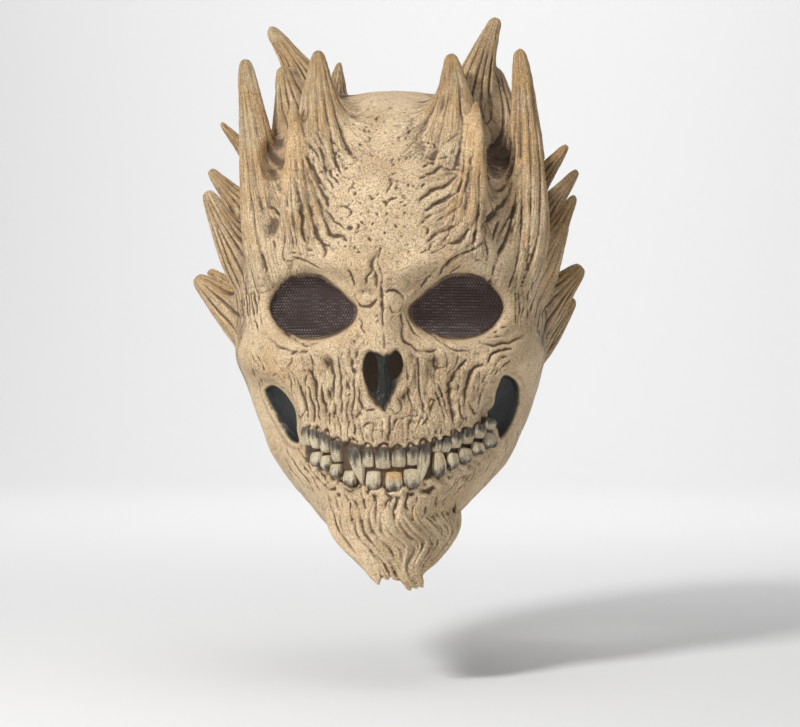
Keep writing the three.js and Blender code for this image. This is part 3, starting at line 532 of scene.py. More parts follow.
def bezier(a, b, c, t):
    """A bend from a to c that b pulls towards itself."""
    t = np.asarray(t)[..., None]
    return (1 - t) ** 2 * a + 2 * t * (1 - t) * b + t**2 * c


def horn_spine(horn):
    """Foot, bend and tip of a horn, and its radius at the root."""
    around, drop, tip_x, tip_y, tip_drop, thick, bow_side, bow_back, _ = horn
    place = place_of(CROWN_TOP - drop * CROWN_TO_JAW)
    angle = np.radians(float(around))
    root = head_points(place, angle)
    tip = np.array([tip_x * FACE_HALF, tip_y * FACE_REACH, CROWN_TOP - tip_drop * CROWN_TO_JAW])
    inward = head_points(place, angle, FACE_REACH / 10) - root
    inward /= np.linalg.norm(inward)
    aim = tip - root
    length = np.linalg.norm(aim)
    foot = root - aim * HORN_FOOT + inward * HORN_SINK * thick * HORN_RADIUS
    bend = root + np.array([bow_side, bow_back, 0]) * length
    return foot, bend, tip, thick * HORN_RADIUS


def strand_path(place, steps):
    """Path of a strand that grows at a place from 0, the beard's left edge, to 1, its right edge."""
    along = np.clip(place, 0, 1) * (len(BEARD_LINES) - 1)
    row = min(int(along), len(BEARD_LINES) - 2)
    one, other = (smooth_curve(BEARD_LINES[row + k], steps) * MM for k in (0, 1))
    flat = one + (other - one) * (along - row)
    y = skin_points(flat[:, 0], np.maximum(flat[:, 1], -BEARD_ROOT))[:, 1]
    return np.stack([flat[:, 0], y, flat[:, 1]], -1)


def frames_along(path):
    """Two directions across a path at each of its points, without twist."""
    run = np.gradient(path, axis=0)
    run /= np.linalg.norm(run, axis=1, keepdims=True)
    across = np.cross(run[0], (0, 1, 0))
    across /= np.linalg.norm(across)
    first = []
    for direction in run:
        across = across - direction * across.dot(direction)
        across /= np.linalg.norm(across)
        first.append(across)
    first = np.array(first)
    return first, np.cross(run, first)


def shaped_sphere(bm, around, along, points_at):
    """A closed form: a sphere whose points go where points_at(share along, angle round) puts them."""
    ball = bmesh.new()
    bmesh.ops.create_uvsphere(ball, u_segments=around, v_segments=along, radius=1.0)
    co = np.array([v.co for v in ball.verts])
    places = points_at(np.arccos(np.clip(co[:, 2], -1, 1)) / math.pi, np.arctan2(co[:, 0], -co[:, 1]))
    for vert, place in zip(ball.verts, places):
        vert.co = place
    bmesh.ops.recalc_face_normals(ball, faces=ball.faces)
    mesh = bpy.data.meshes.new("ball")
    ball.to_mesh(mesh)
    ball.free()
    bm.from_mesh(mesh)
    bpy.data.meshes.remove(mesh)


def add_head(bm, around, along, inset):
    """The head as a closed form, inset from the outer skin."""
    last = len(SECTIONS) - 1
    shaped_sphere(bm, around, along, lambda share, angle: head_points(share * last, angle, inset))


def add_tube(bm, path, radii, around, flat, ripple=None):
    """A closed form round a path, with a radius at each of its points."""
    first, second = frames_along(path)
    steps = np.linspace(0, 1, len(path))

    def points_at(share, angle):
        share = 1 - share
        radius = np.interp(share, steps, radii)
        if ripple:
            radius = radius * (1 + ripple(share, angle))
        place, one, two = (
            np.stack([np.interp(share, steps, column[:, k]) for k in range(3)], -1)
            for column in (path, first, second)
        )
        return (
            place
            + one * (np.sin(angle) * radius)[:, None]
            + two * (np.cos(angle) * radius * flat)[:, None]
        )

    shaped_sphere(bm, around, len(path) * 2, points_at)


def add_horn(bm, horn, profile, less):
    """A horn with a profile along it, or its hollow, which is thinner by less."""
    foot, bend, tip, radius = horn_spine(horn)
    t = np.linspace(0, 1, HORN_RINGS)
    if not less:
        t = np.sin(t * math.pi / 2) * TIP_REACH
    at, wide = np.array(profile).T
    radii = np.maximum(np.interp(t, at, wide) * radius - less, 0.0)
    add_tube(bm, bezier(foot, bend, tip, t), radii, HORN_SIDES, HORN_FLAT)


def web_paths(web):
    """Curves of the skin that hangs between two horns, close enough to run into one sheet."""
    one, low, high, other, other_low, other_high = web
    steps = np.linspace(0, 1, WEB_TUBES)
    spans = []
    for row, first, last in ((one, low, high), (other, other_low, other_high)):
        foot, bend, tip, _ = horn_spine(HORNS[row])
        spans.append((bezier(foot, bend, tip, first + (last - first) * steps), tip - foot))
    rise = spans[0][1] / np.linalg.norm(spans[0][1]) + spans[1][1] / np.linalg.norm(spans[1][1])
    paths = []
    for a, b in zip(spans[0][0], spans[1][0]):
        middle = (a + b) / 2 - rise * np.linalg.norm(b - a) * WEB_SAG
        paths.append(bezier(a, middle, b, np.linspace(0, 1, WEB_STEPS)))
    return paths


def add_web(bm, web):
    """The skin between two horns."""
    for path in web_paths(web):
        add_tube(bm, path, np.full(WEB_STEPS, WEB_THICK), 14, 1.0)


# Carving


class Skin:
    """The points of a mesh as arrays, with what is needed to smooth and carve them."""

    def __init__(self, mesh):
        self.mesh = mesh
        count = len(mesh.vertices)
        self.co = np.empty(count * 3)
        mesh.vertices.foreach_get("co", self.co)
        self.co = self.co.reshape(-1, 3)
        edges = np.empty(len(mesh.edges) * 2, int)
        mesh.edges.foreach_get("vertices", edges)
        a, b = edges.reshape(-1, 2).T
        self.ends = np.concatenate([a, b])
        self.others = np.concatenate([b, a])
        self.degree = np.maximum(np.bincount(self.ends, minlength=count), 1)
        self.read_normals()

    def read_normals(self):
        """Put the points back into the mesh and read the directions that it faces."""
        self.mesh.vertices.foreach_set("co", self.co.ravel())
        self.mesh.update()
        normals = np.empty(len(self.co) * 3)
        self.mesh.vertices.foreach_get("normal", normals)
        self.normal = normals.reshape(-1, 3)

    def around(self, values):
        """Mean of the neighbours' values."""
        columns = values.reshape(len(values), -1).T
        sums = [np.bincount(self.ends, column[self.others], len(values)) for column in columns]
        return (np.stack(sums, -1) / self.degree[:, None]).reshape(values.shape)

    def hollowness(self, passes):
        """How far each point lies below its smoothed surroundings."""
        smooth = self.co
        for _ in range(passes):
            smooth = self.around(smooth)
        return ((smooth - self.co) * self.normal).sum(1)

    def fillet(self, passes, crease):
        """Fill sharp creases until they are soft, and leave the rest."""
        for turn in range(passes):
            move = self.around(self.co) - self.co
            hollow = (move * self.normal).sum(1)
            self.co = self.co + move * np.where(hollow > crease, 0.95, 0.12)[:, None]
            if turn % 6 == 5:
                self.read_normals()
        self.read_normals()

    def even_out(self, passes):
        """Take the steps out of a surface that has just been divided anew."""
        for _ in range(passes):
            self.co = self.co + (self.around(self.co) - self.co) * 0.6
        self.read_normals()

    def push(self, height):
        """Move each point out by its height."""
        self.co = self.co + self.normal * height[:, None]
        self.read_normals()


def smooth_curve(points, count):
    """Evenly spread points on a smooth curve through a few."""
    points = np.asarray(points, float)
    ends = np.vstack([2 * points[0] - points[1], points, 2 * points[-1] - points[-2]])
    place = np.linspace(0, len(points) - 1, count)
    row = np.minimum(place.astype(int), len(points) - 2)
    t = (place - row)[:, None]
    a, b, c, d = (ends[row + k] for k in range(4))
    return cubic(a, b, c, d, t)


def waves(rng, count, low, high):
    """Seeded frequencies and phases for a wavering line."""
    return rng.uniform(low, high, count), rng.uniform(0, math.tau, count)


class FrontCarver:
    """Cuts lines that are given in the front view into a skin."""

    CELL = 1.5 * MM

    def __init__(self, skin):
        self.skin = skin
        self.facing = np.where((skin.normal[:, 1] < 0.25) & (skin.co[:, 1] < 0.0))[0]
        self.flat = skin.co[self.facing][:, (0, 2)]
        points = skin.co[self.facing]
        self.bend = soft_drift(points, 0.0045, (41, 42, 43)) * 0.9 * MM
        self.patchy = 0.8 + 0.45 * soft_noise(points, 0.005, 44)
        self.height = np.zeros(len(skin.co))
        self.low = self.flat.min(0)
        size = ((self.flat.max(0) - self.low) / self.CELL).astype(int) + 2
        self.front = np.full(size, 0.0)
        cell = ((self.flat - self.low) / self.CELL).astype(int)
        np.minimum.at(self.front, (cell[:, 0], cell[:, 1]), skin.co[self.facing, 1])

    def lift(self, flat):
        """Points of the front view, put on the skin."""
        cell = np.clip(((flat - self.low) / self.CELL).astype(int), 0, np.array(self.front.shape) - 1)
        y = self.front[cell[:, 0], cell[:, 1]]
        if len(y) > 3:
            y = np.convolve(np.pad(y, 1, mode="edge"), np.ones(3) / 3, "valid")
        return np.stack([flat[:, 0], y, flat[:, 1]], -1)

    def line(self, half_width, depth, points):
        """One cut or welt, in millimetres."""
        points = np.asarray(points, float) * MM
        length = np.linalg.norm(np.diff(points, axis=0), axis=1).sum()
        path = self.lift(smooth_curve(points, max(int(length / (1.2 * MM)), 4)))
        width = half_width * MM
        reach = width * 3.4
        low, high = path[:, (0, 2)].min(0) - reach, path[:, (0, 2)].max(0) + reach
        near = np.where(((self.flat > low) & (self.flat < high)).all(1))[0]
        if not len(near):
            return
        co = self.skin.co[self.facing[near]] + self.bend[near]
        depth = depth * self.patchy[near]
        near = self.facing[near]
        best = np.full(len(near), np.inf)
        share = np.zeros(len(near))
        for k in range(len(path) - 1):
            a, run = path[k], path[k + 1] - path[k]
            t = np.clip((co - a) @ run / max(run @ run, 1e-12), 0, 1)
            gap = ((co - a - t[:, None] * run) ** 2).sum(1)
            closer = gap < best
            best[closer] = gap[closer]
            share[closer] = (k + t[closer]) / (len(path) - 1)
        gap = np.sqrt(best) / width
        thin = 0.35 + 0.65 * np.sqrt(np.clip(np.sin(math.pi * np.clip(share, 0.02, 0.98)), 0, 1))
        shape = np.exp(-((gap / thin) ** 2))
        lip = np.exp(-(((gap - 2.0) / 0.9) ** 2)) * np.where(depth < 0, 0.28, 0.0)
        self.height[near] += depth * MM * thin * (shape - lip)

    def comb(self, count, half_width, depth, wander, first, last, rng):
        """A row of lines between two, each with a wander of its own."""
        first, last = np.asarray(first, float), np.asarray(last, float)
        for k in range(count):
            share = (k + rng.uniform(-0.2, 0.2)) / max(count - 1, 1)
            points = smooth_curve(first + (last - first) * share, 9)
            swing, phase = waves(rng, 2, 1.5, 4.0)
            t = np.linspace(0, 1, 9)[:, None]
            sway = sum(np.sin(t * s * math.pi + p) for s, p in zip(swing, phase)) * wander / 2
            across = np.array([last[0][1] - first[0][1], first[0][0] - last[0][0]])
            across = np.array([-across[1], across[0]]) / max(np.linalg.norm(across), 1e-6)
            points = points + sway * across
            cut = slice(int(rng.integers(0, 3)), 9 - int(rng.integers(0, 3)))
            self.line(half_width * rng.uniform(0.75, 1.25), depth * rng.uniform(0.6, 1.2), points[cut])

    def spot(self, x, z, half_width, half_height, turn, rise):
        """One pit or bump, in millimetres."""
        gap = (self.flat - np.array([x, z]) * MM).T
        across, along = spot_axes(*gap, turn, half_width * MM, half_height * MM)
        self.height[self.facing] += rise * MM * np.exp(-((across**2 + along**2) ** 1.5))


def outline_gap(points, outline):
    """Signed distance of points to a closed outline: negative inside it."""
    outline = np.asarray(outline, float)
    ends = np.roll(outline, -1, axis=0)
    best = np.full(len(points), np.inf)
    inside = np.zeros(len(points), bool)
    for a, b in zip(outline, ends):
        run = b - a
        t = np.clip((points - a) @ run / (run @ run), 0, 1)
        best = np.minimum(best, ((points - a - t[:, None] * run) ** 2).sum(1))
        crosses = (a[1] > points[:, 1]) != (b[1] > points[:, 1])
        level = a[0] + (points[:, 1] - a[1]) * run[0] / (run[1] if run[1] else 1e-12)
        inside ^= crosses & (points[:, 0] < level)
    return np.where(inside, -1, 1) * np.sqrt(best)


def closed_outline(points, count):
    """A smooth closed curve through a few points."""
    points = np.asarray(points, float)
    place = np.linspace(0, len(points), count, endpoint=False)
    row = place.astype(int)
    t = (place - row)[:, None]
    a, b, c, d = (points[(row + k) % len(points)] for k in (-1, 0, 1, 2))
    return cubic(a, b, c, d, t)


def eye_outline(side, pad=0.0):
    """Edge of an eye opening, widened by a pad."""
    middle = np.array([side * EYE_SPACING / 2, CROWN_TOP - EYE_DROP])
    half = np.array([side * (EYE_WIDTH / 2 + pad), EYE_HEIGHT / 2 + pad])
    return closed_outline(np.array(EYE_OUTLINE) * half + middle, 72)


def nose_outline(outline, side=1):
    """Edge of the nose or of a nostril, from shares of the nose's half sizes."""
    middle = np.array([0.0, CROWN_TOP - NOSE_DROP])
    half = np.array([side * NOSE_WIDTH / 2, NOSE_HEIGHT / 2])
    return closed_outline(np.array(outline) * half + middle, 48)


def soft_noise(points, size, seed):
    """Even noise between -1 and 1 with lumps of a given size."""
    rng = np.random.default_rng(seed)
    lattice = rng.uniform(-1, 1, (64, 64, 64))
    place = points / size + 32.3
    cell = np.floor(place).astype(int)
    t = place - cell
    t = t * t * (3 - 2 * t)
    total = np.zeros(len(points))
    for corner in range(8):
        step = np.array([(corner >> k) & 1 for k in range(3)])
        weight = np.prod(np.where(step, t, 1 - t), axis=1)
        i, j, k = ((cell + step) % 64).T
        total += weight * lattice[i, j, k]
    return total


def soft_drift(points, size, seeds):
    """Even noise in three directions, with lumps of a given size."""
    return np.stack([soft_noise(points, size, seed) for seed in seeds], -1)


def horn_grain(skin, seed):
    """Grooves up each horn that fan out over the skull.

    Gives their height, where the horns are, the share of the way to a tip, where the side horns are dusky,
    which way streaks run and how strong they are.
    """
    rng = np.random.default_rng(seed)
    weight_sum = np.full(len(skin.co), 1e-9)
    strongest = np.zeros(len(skin.co))
    second_best = np.zeros(len(skin.co))
    height = np.zeros(len(skin.co))
    on_horn = np.zeros(len(skin.co))
    tip_share = np.zeros(len(skin.co))
    flow = np.zeros((len(skin.co), 3))
    patchy = smooth_step(soft_noise(skin.co, 0.012, 31), -0.45, 0.45)
    dusk = np.zeros(len(skin.co))
    for number, horn in enumerate(HORNS):
        foot, bend, tip, radius = horn_spine(horn)
        steps = np.linspace(0, 1, 28)
        path = bezier(foot, bend, tip, steps)
        first, second = frames_along(path)
        waver = waves(rng, 6, 2.0, 8.5)
        drift = rng.uniform(-4.0, 4.0, 6)
        curl = rng.uniform(-0.5, 0.5, 6)
        reach = radius * 3.6
        low, high = path.min(0) - reach, path.max(0) + reach
        near = np.where(((skin.co > low) & (skin.co < high)).all(1))[0]
        if not len(near):
            continue
        co = skin.co[near]
        gap = ((co[:, None, :] - path[None]) ** 2).sum(2)
        row = gap.argmin(1)
        t = steps[row]
        at, wide = np.array(HORN_PROFILE).T
        body = np.maximum(np.interp(np.maximum(t, 0.16), at, wide) * radius, 2 * MM)
        away = co - path[row]
        angle = np.arctan2((away * first[row]).sum(1), (away * second[row]).sum(1))
        ratio = np.linalg.norm(away, axis=1) / body
        weight = np.exp(-((np.maximum(ratio - 1.0, 0) / 1.2) ** 2)) * smooth_step(t, 0.02, 0.14)
        wave = sum(
            np.sin(np.round(k) * angle + p + d * t + c * ratio * np.round(k) * 0.4)
            for k, p, d, c in zip(*waver, drift, curl)
        ) / 2.2
        cut = np.exp(-((wave / 0.3) ** 2)) * (0.12 + 0.88 * patchy[near])
        swell = np.clip(np.abs(wave), 0, 1.2) * 0.5
        fade = 0.3 + 0.7 * smooth_step(1 - t, 0.02, 0.3)
        depth = HORN_GRAIN * np.clip(body / HORN_RADIUS, 0.3, 1.0) ** 0.6 * fade
        share = weight**3
        height[near] += share * depth * (swell - cut)
        weight_sum[near] += share
        best = share > strongest[near]
        passed = np.where(best, strongest[near], second_best[near])
        second_best[near] = np.maximum(passed, np.where(best, 0, share))
        strongest[near] = np.maximum(strongest[near], share)
        along = t * np.linalg.norm(tip - foot)
        ring = np.stack([np.sin(angle) * radius, np.cos(angle) * radius, along * 0.07 + number * 0.05], -1)
        flow[near[best]] = ring[best]
        close = smooth_step(1.55 - ratio, 0.0, 0.4)
        on_horn[near] = np.maximum(on_horn[near], close * smooth_step(t, 0.2, 0.34))
        tip_share[near] = np.maximum(tip_share[near], close * smooth_step(t, 0.35, 0.95))
        if abs(horn[0]) > SIDE_HORNS_FROM:
            darker = smooth_step(2.2 - ratio, 0.0, 0.6) * (1 - 0.85 * smooth_step(t, 0.72, 0.98))
            dusk[near] = np.maximum(dusk[near], darker)
    streak = smooth_step(strongest - second_best, 0.08, 0.45) * smooth_step(strongest, 0.05, 0.5)
    return height / np.maximum(weight_sum, 1.0), on_horn, tip_share, dusk, flow, streak


def web_shade(skin):
    """Where the hollows between the horns are: painted shade, strongest along the middle of each web and
    gone a reach away.
    """
    shade = np.zeros(len(skin.co))
    reach = 15 * MM
    for web in WEBS:
        points = np.concatenate([path[2:8] for path in web_paths(web)])
        low, high = points.min(0) - reach, points.max(0) + reach
        near = np.where(((skin.co > low) & (skin.co < high)).all(1))[0]
        gap = np.sqrt(((skin.co[near, None] - points) ** 2).sum(2).min(1))
        shade[near] = np.maximum(shade[near], 1 - smooth_step(gap, WEB_THICK, reach))
    return shade


# Meshes


def mesh_object(name, bm):
    """A new object of the scene. The bmesh that it is made from is freed."""
    mesh = bpy.data.meshes.new(name)
    bm.to_mesh(mesh)
    bm.free()
    obj = bpy.data.objects.new(name, mesh)
    bpy.context.scene.collection.objects.link(obj)
    return obj


def apply_modifiers(obj):
    """Keep what the object's modifiers make, without the modifiers."""
    evaluated = obj.evaluated_get(bpy.context.evaluated_depsgraph_get())
    mesh = bpy.data.meshes.new_from_object(evaluated)
    obj.modifiers.clear()
    old, obj.data = obj.data, mesh
    bpy.data.meshes.remove(old)
    mesh.name = obj.name


def remesh(obj, voxel):
    """One closed surface of even squares round everything in the object."""
    modifier = obj.modifiers.new("Remesh", "REMESH")
    modifier.mode = "VOXEL"
    modifier.voxel_size = voxel
    apply_modifiers(obj)


def thin_out(obj, triangles):
    """Fewer triangles, where the surface is flattest first."""
    mesh = obj.data
    mesh.calc_loop_triangles()
    modifier = obj.modifiers.new("Thin", "DECIMATE")
    modifier.ratio = min(triangles / len(mesh.loop_triangles), 1.0)
    apply_modifiers(obj)


def cut_away(obj, cutter):
    """Take the cutter's volume out of the object and the cutter out of the scene."""
    modifier = obj.modifiers.new("Cut", "BOOLEAN")
    modifier.operation = "DIFFERENCE"
    modifier.solver = "MANIFOLD"
    modifier.object = cutter
    apply_modifiers(obj)
    bpy.data.objects.remove(cutter)


def prism(bm, outline, low, high, along):
    """A closed prism over an outline. along puts (a, b, depth) into x, y, z."""
    verts = [bm.verts.new(along(a, b, low)) for a, b in outline]
    face = bm.faces.new(verts)
    made = bmesh.ops.extrude_face_region(bm, geom=[face])
    far = [item for item in made["geom"] if isinstance(item, bmesh.types.BMVert)]
    shift = Vector(along(0, 0, high)) - Vector(along(0, 0, low))
    bmesh.ops.translate(bm, verts=far, vec=shift)
    faces = list({item for vert in verts + far for item in vert.link_faces})
    bmesh.ops.recalc_face_normals(bm, faces=faces)


def front_cutter(outlines):
    """Prisms that cut outlines of the front view through the face."""
    bm = bmesh.new()
    for outline in outlines:
        prism(bm, outline, -0.18, 0.0, lambda a, b, depth: (a, depth, b))
    return mesh_object("cutter", bm)


def rim_cutter():
    """Everything below the lower rim."""
    bm = bmesh.new()
    rim = [(y * NAPE_REACH, CROWN_TOP - drop * CROWN_TO_JAW) for y, drop in RIM_LINE]
    smooth = [tuple(p) for p in smooth_curve(rim, 40)]
    outline = [(rim[0][0], -0.5), *smooth, (rim[-1][0], -0.5)]
    prism(bm, outline, -0.25, 0.25, lambda a, b, depth: (depth, a, b))
    return mesh_object("cutter", bm)


def hollow_cutter(skin=None):
    """The inside of the head, sunk where the skin's carving would come too near it."""
    bm = bmesh.new()
    add_head(bm, *HOLLOW_POINTS, WALL)
    if skin is None:
        return mesh_object("cutter", bm)
    obj = mesh_object("cutter", bm)
    inner = Skin(obj.data)
    outer = Nearest(skin.co)
    for _ in range(3):
        rows, _ = outer.find(inner.co)
        toward = skin.co[rows] - inner.co
        gap = np.linalg.norm(toward, axis=1) * np.sign((toward * skin.normal[rows]).sum(1))
        sink = np.clip(LEAST_WALL - gap, 0, LEAST_WALL * 2)
        for _ in range(2):
            sink = np.maximum(sink, inner.around(sink))
        inner.push(-sink)
    return obj


def horn_cutter():
    """The insides of the hollow horns."""
    bm = bmesh.new()
    for horn in HORNS:
        if horn[-1]:
            add_horn(bm, horn, HOLLOW_PROFILE, HORN_WALL + HORN_GRAIN)
    return mesh_object("cutter", bm)


def half_of(obj, name, level, side):
    """The part of a closed piece before or behind a plane across y, closed again at the cut."""
    half = bpy.data.objects.new(name, obj.data.copy())
    bpy.context.scene.collection.objects.link(half)
    bm = bmesh.new()
    bmesh.ops.create_cube(bm, size=1.0)
    bmesh.ops.translate(bm, verts=bm.verts, vec=(0, level - side * 0.5, -0.1))
    cut_away(half, mesh_object("cutter", bm))
    mesh = half.data
    at_cut = np.abs(points_of(mesh)[:, 1] - level) < 1e-6
    ends = np.empty(len(mesh.edges) * 2, int)
    mesh.edges.foreach_get("vertices", ends)
    sharp = mesh.attributes.new("sharp_edge", "BOOLEAN", "EDGE")
    sharp.data.foreach_set("value", at_cut[ends].reshape(-1, 2).all(1))
    return half


def store(mesh, name, values):
    """Keep one number or one direction per point for the materials."""
    kind, field = ("FLOAT", "value") if values.ndim == 1 else ("FLOAT_VECTOR", "vector")
    layer = mesh.attributes.new(name, kind, "POINT")
    layer.data.foreach_set(field, np.ascontiguousarray(values, dtype=np.float32).ravel())


class Nearest:
    """Finds the nearest of many points."""

    def __init__(self, points):
        self.tree = KDTree(len(points))
        for row, point in enumerate(points):
            self.tree.insert(point, row)
        self.tree.balance()

    def find(self, targets):
        """For each target, the nearest point's row and its distance."""
        rows, gaps = zip(*(self.tree.find(target)[1:] for target in targets))
        return np.array(rows), np.array(gaps)


def points_of(mesh):
    """Places of a mesh's points."""
    co = np.empty(len(mesh.vertices) * 3)
    mesh.vertices.foreach_get("co", co)
    return co.reshape(-1, 3)


def paint(obj, material):
    """Give the whole object one material."""
    obj.data.materials.clear()
    obj.data.materials.append(bpy.data.materials[material])
    obj.data.polygons.foreach_set("material_index", np.zeros(len(obj.data.polygons), int))


def shade_smooth(mesh):
    mesh.polygons.foreach_set("use_smooth", np.ones(len(mesh.polygons), bool))


# Finishes


PAINTS = ("Bone", "Shade", "Deep", "Wash", "Ochre", "Rubbed")


def new_group(name, inputs, outputs):
    """An empty node group with named number sockets in and named sockets out."""
    group = bpy.data.node_groups.new(name, "ShaderNodeTree")
    for label, kind, value in inputs:
        socket = group.interface.new_socket(label, in_out="INPUT", socket_type=kind)
        socket.default_value = value
    for label, kind in outputs:
        group.interface.new_socket(label, in_out="OUTPUT", socket_type=kind)
    return group, group.nodes.new("NodeGroupInput"), group.nodes.new("NodeGroupOutput")


def noise_node(nodes, links, coordinates, scale, detail, roughness=0.6):
    """Noise between 0 and 1."""
    node = nodes.new("ShaderNodeTexNoise")
    node.inputs["Scale"].default_value = scale
    node.inputs["Detail"].default_value = detail
    node.inputs["Roughness"].default_value = roughness
    links.new(coordinates, node.inputs["Vector"])
    return node.outputs["Fac"]


def ramp(nodes, links, value, low, high):
    """0 below low and 1 above high."""
    node = nodes.new("ShaderNodeMapRange")
    node.interpolation_type = "SMOOTHSTEP"
    node.inputs["From Min"].default_value = low
    node.inputs["From Max"].default_value = high
    links.new(value, node.inputs["Value"])
    return node.outputs["Result"]


def maths(nodes, links, operation, a, b):
    """The result of a sum on numbers or on the values of other nodes."""
    node = nodes.new("ShaderNodeMath")
    node.operation = operation
    for socket, value in zip(node.inputs, (a, b)):
        if isinstance(value, (int, float)):
            socket.default_value = value
        else:
            links.new(value, socket)
    return node.outputs[0]


def mix_colour(nodes, links, share, a, b):
    """Colour a, with a share of colour b over it."""
    node = nodes.new("ShaderNodeMix")
    node.data_type = "RGBA"
    node.blend_type = "MIX"
    for socket, value in ((node.inputs[0], share), (node.inputs[6], a), (node.inputs[7], b)):
        if isinstance(value, (int, float)):
            socket.default_value = value
        elif isinstance(value, (tuple, list)) or hasattr(value, "r"):
            socket.default_value = (*value[:3], 1.0)
        else:
            links.new(value, socket)
    return node.outputs[2]


def grain_group():
    """Cast grain: a speckle mask of small pits and a height for the bump."""
    group, start, end = new_group(
        "Cast grain",
        [("Size", "NodeSocketFloat", 1.0), ("Pits", "NodeSocketFloat", 0.5)],
        [(name, "NodeSocketFloat") for name in ("Speckle", "Height", "Cloud", "Grain")],
    )
    nodes, links = group.nodes, group.links
    where = nodes.new("ShaderNodeTexCoord").outputs["Object"]
    scaled = nodes.new("ShaderNodeVectorMath")
    scaled.operation = "SCALE"
    links.new(where, scaled.inputs[0])
    links.new(start.outputs["Size"], scaled.inputs["Scale"])
    place = scaled.outputs[0]
    fine = noise_node(nodes, links, place, 1250.0, 3.0, 0.65)
    middle = noise_node(nodes, links, place, 330.0, 3.0, 0.6)
    cloud = noise_node(nodes, links, place, 38.0, 4.0, 0.6)
    pits = ramp(nodes, links, fine, 0.46, 0.36)
    grain = ramp(nodes, links, fine, 0.38, 0.66)
    specks = maths(nodes, links, "MULTIPLY", pits, start.outputs["Pits"])
    height = maths(nodes, links, "SUBTRACT", maths(nodes, links, "MULTIPLY", middle, 0.7), specks)
    links.new(specks, end.inputs["Speckle"])
    links.new(height, end.inputs["Height"])
    links.new(cloud, end.inputs["Cloud"])
    links.new(grain, end.inputs["Grain"])
    return group


def streak_group():
    """Fine streaks that run along a flow: a mask of thin dark lines and a height for the bump."""
    group, start, end = new_group(
        "Streaks",
        [("Flow", "NodeSocketVector", (0, 0, 0)), ("Strength", "NodeSocketFloat", 0.0)],
        [("Lines", "NodeSocketFloat"), ("Height", "NodeSocketFloat")],
    )
    nodes, links = group.nodes, group.links
    flow = start.outputs["Flow"]
    broad = noise_node(nodes, links, flow, 330.0, 2.0, 0.55)
    fine = noise_node(nodes, links, flow, 800.0, 3.0, 0.6)
    off = maths(nodes, links, "ABSOLUTE", maths(nodes, links, "SUBTRACT", broad, 0.5), 0)
    line = ramp(nodes, links, off, 0.035, 0.005)
    thin = maths(nodes, links, "MULTIPLY", ramp(nodes, links, fine, 0.46, 0.36), 0.6)
    lines = maths(nodes, links, "MAXIMUM", line, thin)
    lines = maths(nodes, links, "MULTIPLY", lines, start.outputs["Strength"])
    swell = maths(nodes, links, "MULTIPLY", fine, start.outputs["Strength"])
    links.new(lines, end.inputs["Lines"])
    links.new(maths(nodes, links, "SUBTRACT", swell, lines), end.inputs["Height"])
    return group


def paint_group():
    """Old-bone paint: base colour, dark wash in the creases and painted shade in the hollows, ochre, and
    pale rubbed ridges that are partly a painted highlight.
    """
    masks = ("Hollow", "Stain", "Cloud", "Speckle", "Grain", "Lines")
    group, start, end = new_group(
        "Bone paint",
        [(name, "NodeSocketColor", (0.5, 0.5, 0.5, 1)) for name in PAINTS]
        + [(name, "NodeSocketFloat", 0.0) for name in masks],
        [("Colour", "NodeSocketColor")],
    )
    nodes, links = group.nodes, group.links
    take = start.outputs
    cloudy = ramp(nodes, links, take["Cloud"], 0.38, 0.66)
    colour = mix_colour(nodes, links, cloudy, take["Bone"], take["Shade"])
    patches = ramp(nodes, links, take["Cloud"], 0.25, 0.6)
    stained = maths(nodes, links, "MULTIPLY", take["Stain"], patches)
    colour = mix_colour(nodes, links, stained, colour, take["Ochre"])
    # Share of the dark colour: wash in the fine creases, painted shade in the deepest hollows
    wash_and_shade_share = ramp(nodes, links, take["Hollow"], 0.3, 1.05)
    bare = maths(nodes, links, "SUBTRACT", 1.0, wash_and_shade_share)
    layers = (
        # Pale rubbed paint on the ridges, partly a painted highlight
        (ramp(nodes, links, take["Hollow"], -0.04, -0.5), 0.7, "Rubbed"),
        # Painted shade in the shallow hollows
        (ramp(nodes, links, take["Hollow"], -0.05, 0.4), 0.66, "Deep"),
        # Dark wash in the creases and painted shade in the deepest hollows
        (wash_and_shade_share, 0.92, "Wash"),
        (take["Lines"], 0.6, "Wash"),
        (take["Speckle"], 0.55, "Wash"),
        (maths(nodes, links, "SUBTRACT", 1.0, take["Grain"]), 0.34, "Deep"),
        (maths(nodes, links, "MULTIPLY", take["Grain"], bare), 0.3, "Rubbed"),
    )
    for mask, strength, layer in layers:
        share = maths(nodes, links, "MULTIPLY", mask, strength)
        colour = mix_colour(nodes, links, share, colour, take[layer])
    links.new(colour, end.inputs["Colour"])
    return group


def attribute(nodes, name, kind="Fac"):
    """Values that were stored for each point."""
    node = nodes.new("ShaderNodeAttribute")
    node.attribute_name = name
    return node.outputs[kind]


